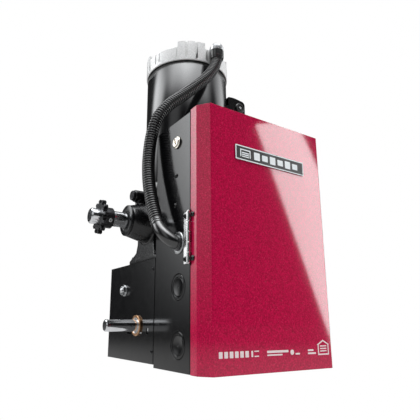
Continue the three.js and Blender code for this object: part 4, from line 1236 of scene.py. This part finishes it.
def make_gearbox_cover(shaft, barrel):
    profile = [(13.3, 142.6), (barrel, 142.6), (barrel, 149.6), (barrel - 1.2, 150.8), (38, 151),
               (36.2, 153.4),
               (25.2, 192), (24.2, 197.4), (23.4, 198), (13.3, 198)]
    shape = turned(profile, "X", shaft, 72)
    piece("gearbox_end_cover", shape, "cast_black", "root", ["gearbox_cover"], crease=40)
    bolts = [(150.6, shaft.y + a, shaft.z + b) for a, b in around(6, 38.6, 0.3)]
    fasteners("gearbox_cover_bolts", "hex", bolts, X, 2.6, 2.8, "black_oxide", "root")


def make_filler_plug(shaft):
    low, high = span("filler_plug")
    centre = Vector((0, shaft.y, FILLER_Z))
    profile = [(0, high.x), (8.6, high.x), (8.6, low.x + 0.9), (7.9, low.x), (6.2, low.x),
               (5.6, low.x + 0.8),
               (0, low.x + 0.8)]
    plug = cut(turned(profile, "X", centre, 56),
               box(low.x - 1, low.x + 2.2, centre.y - 1.4, centre.y + 1.4, centre.z - 4, centre.z + 4))
    piece("filler_plug_cap", plug, "black_oxide", "root", ["filler_plug"], bevel=0.2)


def make_output_shaft():
    low, high = span("output_shaft")
    centre = OUTPUT_AXIS
    radius = 12.7
    way = prism(rectangle(low.x + 8, low.x + 44, centre.y - 3.2, centre.y + 3.2, 3), centre.z - radius - 1,
                centre.z - radius + 3.2, "Z")
    piece("output_shaft_bar", keyed_shaft(low.x, high.x, centre, radius, 2.2, way), "bright_steel",
          "output",
          ["output_shaft"], crease=25)
    key = box(low.x + 16, low.x + 36, centre.y - 3.1, centre.y + 3.1, centre.z - radius - 1.5,
              centre.z - radius + 3)
    piece("output_key", key, "black_oxide", "output", bevel=0.4)


def chain_radius(teeth):
    """The radius of the circle that a chain's pins follow round a sprocket."""
    return CHAIN_PITCH / (2 * math.sin(math.pi / teeth))


def sprocket_outline(teeth, y, z):
    """Roller-chain teeth: round seats between blocky tips with broken corners."""
    roller = 3.96
    pitch_radius = chain_radius(teeth)
    tip = pitch_radius + 0.29 * CHAIN_PITCH
    half = math.pi / teeth
    side = half - math.asin(roller / pitch_radius)
    flank = [(side * 0.55, tip), (side * 0.86, tip - 0.7), (side, pitch_radius + 0.5), (side, pitch_radius)]
    for degrees in (25, 50, 70, 90):
        a = math.radians(degrees)
        radius = pitch_radius - roller * math.sin(a)
        flank.append((half - roller * math.cos(a) / radius, radius))
    points = []
    for i in range(teeth):
        angle = 2 * half * i
        for t, r in [(-t, r) for t, r in reversed(flank)][1:] + flank:
            points.append((y + r * math.cos(angle + t), z + r * math.sin(angle + t)))
    return points


def make_sprocket(name, node, teeth, bore, plate, hub, hub_radius, centre, body):
    disc = prism(sprocket_outline(teeth, centre.y, centre.z), plate[0], plate[1], "X")
    lean = 0.9
    tip = chain_radius(teeth) + 3.9
    trim = turned([(0, plate[0] - 0.2), (tip - 2.5, plate[0] - 0.2), (tip, plate[0] + lean),
                   (tip, plate[1] - lean),
                   (tip - 2.5, plate[1] + 0.2), (0, plate[1] + 0.2)], "X", centre, 64)
    shape = boolean("INTERSECT", disc, [trim])
    low, high = sorted(hub)
    barrel = rod(hub_radius, low, high, "X", centre, 56, 0.8)
    shape = cut(join(shape, barrel),
                rod(bore, min(low, plate[0]) - 2, max(high, plate[1]) + 2, "X", centre, 56))
    piece(name, shape, "black_oxide", body, [node], bevel=0.25, crease=42)


def make_sprockets():
    chain = 227.0
    half = 2.75
    make_sprocket("drive_sprocket_forged", "drive_sprocket", SMALL_TEETH, 13.05, (-82, -75), (-76, -60),
                  17, OUTPUT_AXIS, "output")
    make_sprocket("chain_sprocket_small", "chain_sprocket_upper", SMALL_TEETH, 13.05,
                  (chain - half, chain + half),
                  (chain, chain + 8), 17.5, OUTPUT_AXIS, "output")
    make_sprocket("chain_sprocket_large", "chain_sprocket_lower", LARGE_TEETH, 9.85,
                  (chain - half, chain + half),
                  (chain - 20, chain), 17, LOWER_AXIS, "lower")
    set_screw = cut(rod(3, 14.6, 18.0, "Z", (0, 0, 0), 24, 0.4),
                    prism(around(6, 1.5), 16, 19, "Z"))
    spot = (Matrix.Translation((-67, OUTPUT_AXIS.y, OUTPUT_AXIS.z))
            @ Matrix.Rotation(math.radians(115), 4, "X"))
    piece("sprocket_set_screw", moved(set_screw, spot), "zinc_plate", "output", bevel=0.15)


# ---------------------------------------------------------------- motor

def make_motor_shell():
    motor = middle("motor_shell")
    low, high = span("motor_shell")
    radius, wall = 83.1, 3.0
    inner = radius - wall
    profile = [(inner, low.z), (radius - 0.8, low.z), (radius, low.z + 0.8), (radius, low.z + 16),
               (radius - 0.5, low.z + 17),
               (radius - 0.5, low.z + 20), (radius, low.z + 21), (radius, high.z - 1.0),
               (radius - 0.8, high.z), (inner, high.z)]
    piece("motor_shell_rolled", turned(profile, "Z", motor, 144), "motor_enamel", "root", ["motor_shell"],
          crease=50)
    low, high = span("motor_flange")
    profile = [(9.4, low.z), (73.6, low.z), (76, low.z + 0.6), (radius - 0.8, 297), (radius, 298.2),
               (radius, 301.2),
               (radius - 0.7, 301.9), (9.4, 299)]
    piece("motor_flange_cast", turned(profile, "Z", motor, 96), "motor_enamel", "root", ["motor_flange"],
          crease=35)
    bolts = [(motor.x + a, motor.y + b, 283.2) for a, b in around(4, 66, math.radians(45))]
    fasteners("motor_flange_bolts", "hex", bolts, -Z, 5.4, 4.2, "black_oxide", "root")


def sector(centre, inner, outer, first, last, z0, z1, steps=12):
    """A block that follows the rim, between two angles in degrees."""
    arc = [math.radians(first + (last - first) * i / steps) for i in range(steps + 1)]
    points = [(centre.x + outer * math.cos(a), centre.y + outer * math.sin(a)) for a in arc]
    points += [(centre.x + inner * math.cos(a), centre.y + inner * math.sin(a)) for a in reversed(arc)]
    return prism(points, z0, z1, "Z")


def make_end_bell():
    """Cast ring with four high lands, cooling slots cut down its outside and a domed top."""
    motor = middle("motor_shell")
    low, high = span("end_bell")
    rim = (high.x - low.x) / 2
    floor, top = low.z, high.z
    ring = turned([(79.5, floor + 0.2), (rim - 1.2, floor + 0.2), (rim - 0.2, floor + 1.4),
                   (rim - 0.1, floor + 28), (rim - 1.2, floor + 30),
                   (rim - 7, floor + 31), (rim - 12, floor + 33.5), (46, top - 4.6), (0, top - 4.4),
                   (0, top - 8), (46, top - 8.4),
                   (79.5, floor + 16)], "Z", motor, 120)
    first_land = -135.4
    wide = 38.0
    lands = [sector(motor, rim - 15, rim - 0.15, first_land + 90 * i, first_land + 90 * i + wide,
                    floor + 14, top - 0.1)
             for i in range(4)]
    shape = join(ring, *lands)
    notches = []
    for i in range(4):
        start = first_land + 90 * i
        for offset, width, deep, foot in ((11.2, 2.8, 3.2, 6), (23.8, 3.4, 3.2, 6), (-1.6, 2.2, 2.6, 4),
                                          (-36, 2.4, 3.0, 8),
                                          (-28, 1.6, 2.0, 8), (wide + 1.5, 2.4, 3.4, 4)):
            a0, a1 = start + offset, start + offset + width
            notches.append(sector(motor, rim - deep, rim + 2, a0, a1, floor + foot, top + 2, 2))
    shape = cut(shape, *notches)
    piece("end_bell_casting", shape, "cast_aluminium", "root", ["end_bell"], bevel=0.3, crease=42)
    piece("end_bell_joint", turned([(80, floor - 0.35), (rim - 2.2, floor - 0.35),
                                    (rim - 2.2, floor + 0.15), (80, floor + 0.15)],
                                   "Z", motor, 96), "rubber", "root", crease=40)
    bolts = [(motor.x + a, motor.y + b, top - 3.0)
             for a, b in around(4, rim - 8, math.radians(first_land + wide / 2))]
    fasteners("end_bell_bolts", "hex", bolts, Z, 4.4, 2.8, "zinc_plate", "root")


def make_capacitor_cover():
    """A drawn cover hugging the motor, with a round gland plug in its face."""
    low, high = span("capacitor_cover")
    motor = middle("motor_shell")
    x0, x1 = 190.0, high.x

    def outline(inset):
        corners = [(x0, low.z + inset), (x1 - inset, low.z + inset), (x1 - inset, high.z - 3 - inset),
                   (x0 + 14, high.z - inset), (x0, high.z - 2 - inset)]
        return rounded(corners, [0, 9 - inset, 9 - inset, 60, 0], 8)
    shell = prism(outline(0), low.y, high.y, "Y")
    inside = prism(outline(2), low.y + 2, high.y - 2, "Y")
    skin = rod(83.5, 400, 580, "Z", motor, 144)
    hole = rod(7.2, low.y - 1, low.y + 3, "Y", COVER_PLUG, 40)
    piece("capacitor_cover_drawn", cut(shell, inside, skin, hole), "motor_enamel", "root",
          ["capacitor_cover"],
          bevel=1.2, crease=50, steps=4)
    front = low.y
    plug = turned([(0, front - 2.2), (4.6, front - 2.2), (5.4, front - 1.4), (6.2, front - 1.4),
                   (7.2, front - 3.2),
                   (9.4, front - 3.2), (11, front - 1.8), (11.2, front - 0.1), (7, front - 0.1),
                   (7, front + 4),
                   (0, front + 4)], "Y", COVER_PLUG, 48)
    piece("capacitor_cover_plug", plug, "black_plastic", "root", crease=35)
    spot = (Matrix.Translation((COVER_PLUG[0], front - 2.2, COVER_PLUG[2]))
            @ Matrix.Rotation(math.pi / 2, 4, "X"))
    screw = moved(head("cross", 2.6, 1.6, 0.6), spot)
    piece("capacitor_cover_screw", screw, "zinc_plate", "root", crease=32)


def make_fitting():
    """Zinc elbow connector with its domed cap, above the black clamp nut that holds the conduit."""
    low, high = span("conduit_fitting")
    x, y, z = 122.0, 128.0, 584.0
    cap = turned([(0, z), (12.6, z), (13.3, z + 0.7), (13.3, z + 7.6), (12.6, z + 9.6), (10.6, z + 12.4),
                  (8, z + 14.3),
                  (4, z + 14.9), (0, z + 15)], "Z", (x, y, 0), 56)
    arm = turned([(0, y), (6.9, y), (6.9, high.y - 3.6), (8.8, high.y - 3.4), (8.8, high.y - 0.3),
                  (0, high.y - 0.3)],
                 "Y", (x, 0, 591.6), 40)
    piece("fitting_cap", join(cap, arm), "zinc_plate", "root", ["conduit_fitting"], bevel=0.3, crease=45)
    low, high = span("conduit_nut")
    bore = 10.7
    profile = [(bore, low.z), (12.2, low.z), (12.7, low.z + 0.6), (12.7, low.z + 3.8), (13.5, low.z + 4.4)]
    profile += [(13.5, high.z - 0.8), (12.8, high.z), (bore, high.z)]
    body = turned(profile, "Z", (x, y, 0), 64)
    flutes = [rod(1.3, low.z + 5.5, high.z + 1, "Z", (x + a, y + b, 0), 14) for a, b in around(12, 14.1)]
    piece("conduit_clamp_nut", cut(body, *flutes), "conduit_black", "root", ["conduit_nut"], bevel=0.2)


# ---------------------------------------------------------------- inside the cabinet

POST_ROWS = [(x, z) for x in (36, 146) for z in (194, 344)]


def screws(name, kind, radius, height, look, places):
    """Screws that face the cabinet's open front."""
    return fasteners(name, kind, places, -Y, radius, height, look, "root")


def make_panel():
    low, high = span("mounting_panel")
    face = 132.3
    plate = prism(rectangle(low.x, high.x, low.z, high.z, 4), face, high.y, "Y")
    holes = [rod(2.2, face - 1, high.y + 1, "Y", (x, 0, z), 20) for x in (27, 158, 225)
             for z in (122, 152, 270, 354)]
    posts = [rod(3.5, low.y, face + 0.5, "Y", (x, 0, z), 6, 0.3) for x, z in POST_ROWS]
    piece("panel_plate", join(cut(plate, *holes), *posts), "zinc_plate", "root", ["mounting_panel"],
          bevel=0.25)
    corners = [(x, face, z) for x in (30, 222) for z in (118, 356)]
    screws("panel_screws", "hex", 3.4, 2.6, "zinc_plate", corners)


def make_board():
    """The logic board: relays, electrolytics, chips, lamps and rows of small parts."""
    low, high = span("control_board")
    face = low.y
    plate = prism(rectangle(low.x, high.x, low.z, high.z, 2.5), face, high.y, "Y")
    piece("board_laminate", plate, "circuit_board", "root", ["control_board"], bevel=0.15)
    screws("board_screws", "cross", 3.1, 2.0, "nickel", [(x, face, z) for x, z in POST_ROWS])
    relays = [prism(rectangle(x, x + 15, 286, 306, 0.8), face - 15.5, face - 0.1, "Y")
              for x in (38, 57, 76)]
    piece("board_relays", merged(*relays), "black_plastic", "root", bevel=0.5)
    chip_spots = ((48, 226), (72, 226), (72, 256), (104, 240))
    chips = [box(x, x + 9, face - 3.4, face - 0.6, z, z + 24) for x, z in chip_spots]
    pins = [box(x + side, x + side + 0.9, face - 2.2, face - 0.05, z + 1.2 + 2.54 * i, z + 1.7 + 2.54 * i)
            for x, z in chip_spots for side in (-1.1, 9.2) for i in range(9)]
    piece("board_chips", merged(*chips), "black_plastic", "root", bevel=0.3)
    piece("board_chip_pins", merged(*pins), "nickel", "root", crease=30)
    cans = [turned([(0, face - tall), (r - 0.7, face - tall), (r - 0.1, face - tall + 0.6), (r, face - 3.2),
                    (r - 0.5, face - 2.6), (r, face - 2.0), (r, face - 0.1), (0, face - 0.1)], "Y",
                   (x, 0, z), 32)
            for x, z, r, tall in ((106, 298, 6.2, 20), (122, 298, 6.2, 20), (138, 290, 4.0, 12),
                                  (138, 278, 4.0, 12))]
    piece("board_electrolytics", merged(*cans), "blue_plastic", "root", crease=40)
    bodies, bands = [], []
    for i in range(8):
        x, z = 122 + 3.4 * (i % 4) * 1.6, 226 + 22 * (i // 4)
        bodies.append(rod(1.3, z - 3.4, z + 3.4, "Z", (x, face - 1.6, 0), 16, 0.5))
        bands += [rod(1.36, z + k, z + k + 0.6, "Z", (x, face - 1.6, 0), 16) for k in (-1.6, 0, 1.6)]
    piece("board_resistors", merged(*bodies), "ivory_plastic", "root", crease=40)
    piece("board_resistor_bands", merged(*bands), "red_plastic", "root", crease=40)
    for i, look in enumerate(("green_plastic", "yellow_plastic", "red_plastic")):
        lamp = turned([(0, face - 5), (0.9, face - 4.7), (1.5, face - 3.8), (1.5, face - 1),
                       (1.9, face - 1),
                       (1.9, face - 0.1), (0, face - 0.1)], "Y", (42 + 9 * i, 0, 312), 20)
        piece(f"board_lamp_{i + 1}", lamp, look, "root", crease=40)
    plug = cut(box(104, 140, face - 9, face - 0.1, 212, 219),
               box(105, 139, face - 10, face - 1.5, 213.2, 217.8))
    piece("board_socket", plug, "ivory_plastic", "root", bevel=0.25)


def make_terminals():
    low, high = span("terminal_strip")
    pitch = (high.x - low.x) / 10
    starts = [low.x + i * pitch for i in range(10)]
    bays = [box(x + 1.2, x + pitch - 1.2, low.y - 1, low.y + 6, low.z + 4.5, high.z - 1.6) for x in starts]
    entries = [box(x + 2.4, x + pitch - 2.4, low.y + 3, high.y - 2.5, low.z - 1, low.z + 4) for x in starts]
    block = box(low.x, high.x, low.y, high.y, low.z, high.z)
    piece("terminal_block", cut(block, *bays, *entries), "green_plastic", "root", ["terminal_strip"],
          bevel=0.25)
    places = [(low.x + (i + 0.5) * pitch, low.y + 5.8, high.z - 5.6) for i in range(10)]
    screws("terminal_screws", "slot", 3.1, 2.2, "nickel", places)
    colours = ("red_plastic", "black_plastic", "blue_plastic", "ivory_plastic", "yellow_plastic",
               "red_plastic")
    for i, look in enumerate(colours):
        x = low.x + (i + 0.5) * pitch
        route = [(x, 115, low.z + 3.5), (x, 114, low.z - 8), (x - 8, 108, 166 - 2 * i),
                 (28 + 3 * i, 92, 160 - 2 * i),
                 (20 + 0.8 * i, 74, 170 + 1.2 * i), (13, 66 + 1.4 * (i - 2.5), 180 + 1.6 * (i % 3 - 1)),
                 (4, 65 + 1.4 * (i - 2.5), 180 + 1.6 * (i % 3 - 1))]
        line = spaced(centripetal(route, 10), 2.5)
        piece(f"wire_{i + 1}", sweep(line, lambda _: 1.15, 10), look, "root", crease=60)


def make_keypad():
    """Three push buttons with plain marks, in their bezel, and the selector dial beside them."""
    low, high = span("keypad_housing")
    bezel = prism(rectangle(low.x, high.x, low.z, high.z, 3), low.y, high.y, "Y")
    centres = {"open": 48, "stop": 70, "close": 92}
    bores = [rod(6.4, low.y - 1, high.y + 1, "Y", (x, 0, KEYPAD_Z), 40) for x in centres.values()]
    piece("keypad_bezel", cut(bezel, *bores), "grey_plastic", "root", ["keypad_housing"], bevel=0.6,
          steps=3)
    marks = {"open": [(-2.6, -1.7), (2.6, -1.7), (0, 2.4)], "close": [(-2.6, 1.7), (2.6, 1.7), (0, -2.4)],
             "stop": [(-2, -2), (2, -2), (2, 2), (-2, 2)]}
    looks = {"open": "green_plastic", "stop": "red_plastic", "close": "ivory_plastic"}
    for name, x in centres.items():
        node = f"button_{name}"
        face, back = span(node)[0].y, span(node)[1].y
        cap = turned([(0, face + 0.5), (3.4, face + 0.4), (5.0, face), (5.7, face + 0.5), (6, face + 1.4),
                      (6, back),
                      (0, back)], "Y", (x, 0, KEYPAD_Z), 48)
        piece(f"{node}_cap", cap, looks[name], f"push_{name}", [node], crease=40)
        mark = prism([(x + a, KEYPAD_Z + b) for a, b in marks[name]], face + 0.28, face + 0.6, "Y")
        piece(f"{node}_mark", mark, "black_plastic" if name == "close" else "silver_ink", f"push_{name}",
              crease=30)
    low, high = span("selector_dial")
    knob = turned([(0, low.y), (7.6, low.y), (8.6, low.y + 0.8), (9, high.y - 2.8), (10.8, high.y - 2.6),
                   (11, high.y - 2.2), (11, high.y), (0, high.y)], "Y", (DIAL_X, 0, KEYPAD_Z), 64)
    grips = [rod(0.8, low.y - 1, high.y - 3, "Y", (DIAL_X + a, 0, KEYPAD_Z + b), 12)
             for a, b in around(24, 9.2)]
    slot = box(126.3, 127.7, low.y - 1, low.y + 1, 331, 339)
    piece("selector_knob", cut(knob, slot, *grips), "black_plastic", "dial", ["selector_dial"], bevel=0.15)
    piece("selector_pointer", box(126.4, 127.6, low.y + 0.3, low.y + 0.9, 331.2, 338.2), "silver_ink",
          "dial")
    ticks = [moved(moved(box(-0.35, 0.35, -0.2, 0.0, 12.2, 14.6),
                         Matrix.Rotation(math.radians(30 * i - 150), 4, "Y")),
                   Matrix.Translation((DIAL_X, 120.95, KEYPAD_Z))) for i in range(11)]
    piece("selector_ticks", merged(*ticks), "silver_ink", "root", crease=30)


def make_transformer():
    core = cut(box(166, 226, 92, 122, 290, 334), box(176, 216, 91, 123, 300, 324))
    leg = box(190, 202, 92, 122, 292, 332)
    strap = join(box(162, 230, 129.9, 131.9, 305, 319), box(163.6, 165.6, 92, 131, 305, 319),
                 box(226.4, 228.4, 92, 131, 305, 319), box(163.6, 228.4, 90, 92.2, 305, 319))
    piece("transformer_core", join(core, leg), "lamination_steel", "root", ["transformer"], bevel=0.5)
    piece("transformer_strap", strap, "zinc_plate", "root", bevel=0.4)
    flanges = [prism(rectangle(177, 215, 84.5, 129.4, 3), z, z + 1.6, "Z") for z in (283, 339.4)]
    winding = prism(rectangle(178.5, 213.5, 86, 128.6, 7), 284.4, 339.6, "Z")
    piece("transformer_bobbin", merged(*flanges), "black_plastic", "root", bevel=0.3)
    piece("transformer_winding", winding, "yellow_plastic", "root", bevel=1.2, steps=3)
    tape = cut(prism(rectangle(178.1, 213.9, 85.6, 129, 7.3), 303, 321, "Z"),
               prism(rectangle(179, 213, 86.4, 128, 6.6), 302, 322, "Z"))
    piece("transformer_tape", tape, "ivory_plastic", "root", bevel=0.1)
    lugs = [box(x, x + 3, 85.4, 86.2, 340.8, 342) for x in (182, 190, 199, 207)]
    piece("transformer_lugs", merged(*lugs), "nickel", "root", crease=30)


def make_contactor():
    """A motor contactor: moulded base, arc chamber, moving nub and two rows of clamp screws."""
    base = box(168, 224, 96, 131.9, 196, 262)
    wells = [box(170 + 18 * i + 1, 170 + 18 * i + 15, 95, 110, z, z + 10) for i in range(3)
             for z in (193, 255)]
    upper = prism(rectangle(174, 218, 206, 252, 2), 74, 97, "Y")
    slots = [box(178 + 6.2 * i, 180.4 + 6.2 * i, 73, 78, 241, 249) for i in range(6)]
    shape = cut(join(cut(base, *wells), upper), *slots, box(185, 207, 73, 75.5, 219, 239))
    piece("contactor_body", shape, "black_plastic", "root", ["contactor"], bevel=0.6)
    piece("contactor_nub", box(186, 206, 70, 90, 220, 238), "grey_plastic", "root", bevel=0.8)
    places = [(178 + 18 * i, 109.8, z) for i in range(3) for z in (199.6, 258.6)]
    screws("contactor_screws", "cross", 3.3, 3.0, "nickel", places)


def make_limit_shaft():
    """Gear at the left, then a rolled thread of two millimetres' pitch between plain ends."""
    low, high = span("limit_shaft")
    centre = LIMIT_AXIS
    profile = [(0, low.x), (3.6, low.x), (4.8, low.x + 1.2), (4.8, 46)]
    x = 46.0
    while x < 200:
        profile += [(4.2, x + 0.35), (4.2, x + 0.75), (4.8, x + 1.35), (4.8, x + 2)]
        x += 2
    profile += [(4.8, high.x - 0.8), (4.2, high.x), (0, high.x)]
    thread = turned(profile, "X", centre, 40)
    teeth, module = 16, 3.0
    pitch_radius = module * teeth / 2
    outline = []
    for i in range(teeth):
        middle_angle = 2 * math.pi * i / teeth
        quarter = math.pi / (2 * teeth)
        for share, radius in ((-1.35, pitch_radius - 1.2 * module), (-1.05, pitch_radius - 0.5 * module),
                              (-0.52, pitch_radius + 0.85 * module), (0.52, pitch_radius + 0.85 * module),
                              (1.05, pitch_radius - 0.5 * module), (1.35, pitch_radius - 1.2 * module)):
            angle = middle_angle + share * quarter
            outline.append((centre.y + radius * math.cos(angle), centre.z + radius * math.sin(angle)))
    gear = prism(outline, 29, 37, "X")
    piece("limit_shaft_thread", merged(thread, gear), "bright_steel", "limit", ["limit_shaft"], crease=40)


# ---------------------------------------------------------------- chain drive

def make_chain_guard():
    low, high = span("chain_guard")
    shaft = OUTPUT_AXIS

    def outline(radius, foot, base):
        points = [(shaft.y - radius, base), (foot, base)]
        for i in range(25):
            angle = 0.05 * math.pi + 0.95 * math.pi * i / 24
            points.append((shaft.y + radius * math.cos(angle), shaft.z + radius * math.sin(angle)))
        return points
    shape = cut(prism(outline(38, 236, low.z), low.x, high.x, "X"),
                prism(outline(36, 234, low.z - 1), low.x + 2, high.x - 2, "X"),
                rod(13.9, low.x - 1, low.x + 3, "X", shaft, 56))
    piece("chain_guard_shell", shape, "black_paint", "root", ["chain_guard"], bevel=0.8, steps=3)
    places = [(high.x, 150, 178), (high.x, 226, 178), (high.x, 180, 262)]
    fasteners("chain_guard_screws", "cross", places, X, 3, 1.6, "zinc_plate", "root")


def make_chain():
    """Link plates and rollers round both sprockets, on the pitch line."""
    small = (OUTPUT_AXIS, chain_radius(SMALL_TEETH))
    large = (LOWER_AXIS, chain_radius(LARGE_TEETH))
    apart = small[0] - large[0]
    heading = math.atan2(apart.z, apart.y)
    open_angle = math.pi / 2 - math.asin((large[1] - small[1]) / apart.length)

    def on(circle, angle):
        return circle[0] + Vector((0, math.cos(angle), math.sin(angle))) * circle[1]
    path = [on(small, heading - open_angle + 2 * open_angle * i / 40) for i in range(41)]
    sweep_angle = 2 * math.pi - 2 * open_angle
    path += [on(large, heading + open_angle + sweep_angle * i / 60) for i in range(61)]
    path.append(path[0])
    joints = spaced(path, CHAIN_PITCH)[:-1]
    mid_x = middle("roller_chain").x
    links = []
    for i, here in enumerate(joints):
        there = joints[(i + 1) % len(joints)]
        way = there - here
        angle = math.atan2(way.z, way.y)
        offset, thick = ((3.5, 4.7) if i % 2 else (2.45, 3.45))
        waist = []
        for a in range(14):
            t = math.pi / 2 + math.pi * a / 13
            waist.append((5.2 * math.cos(t), 5.2 * math.sin(t)))
        waist.append((way.length / 2, -3.6))
        for a in range(14):
            t = -math.pi / 2 + math.pi * a / 13
            waist.append((way.length + 5.2 * math.cos(t), 5.2 * math.sin(t)))
        waist.append((way.length / 2, 3.6))
        turn = Matrix.Translation((mid_x, here.y, here.z)) @ Matrix.Rotation(angle, 4, "X")
        for side in (-1, 1):
            x0, x1 = sorted((side * offset, side * thick))
            links.append(moved(prism(waist, x0, x1, "X"), turn))
        links.append(rod(3.9, mid_x - 2.4, mid_x + 2.4, "X", here, 20))
        links.append(rod(1.9, mid_x - 5.4, mid_x + 5.4, "X", here, 14))
    piece("roller_chain_links", merged(*links), "black_oxide", "root", ["roller_chain"], crease=35)


# ---------------------------------------------------------------- assembly

eye = add_camera()
make_conduit()
make_elbow()
add_world()
add_key_light(eye)
add_floor()

make_cover()
make_badge()
make_printed_marks()
make_latch()
make_hinge()
make_cabinet()
make_jack()
make_gland()
make_housing()
make_bearing("lower_bearing_left", -1)
make_bearing("lower_bearing_right", 1)
make_lower_shaft()
make_stud()
make_gearbox()
make_output_shaft()
make_sprockets()
make_motor_shell()
make_end_bell()
make_capacitor_cover()
make_fitting()
make_panel()
make_board()
make_terminals()
make_keypad()
make_transformer()
make_contactor()
make_limit_shaft()
make_chain_guard()
make_chain()

NODE_LOOKS = {entry["node"]: entry["material_slot"] for entry in frame["record"]["subparts"]}
for node, carried in frame["nodes"].items():
    carried.data.materials.clear()
    carried.data.materials.append(LOOKS[NODE_LOOKS[node]].material)

view = bpy.context.scene.view_settings
view.view_transform = "Standard"
view.look = "None"
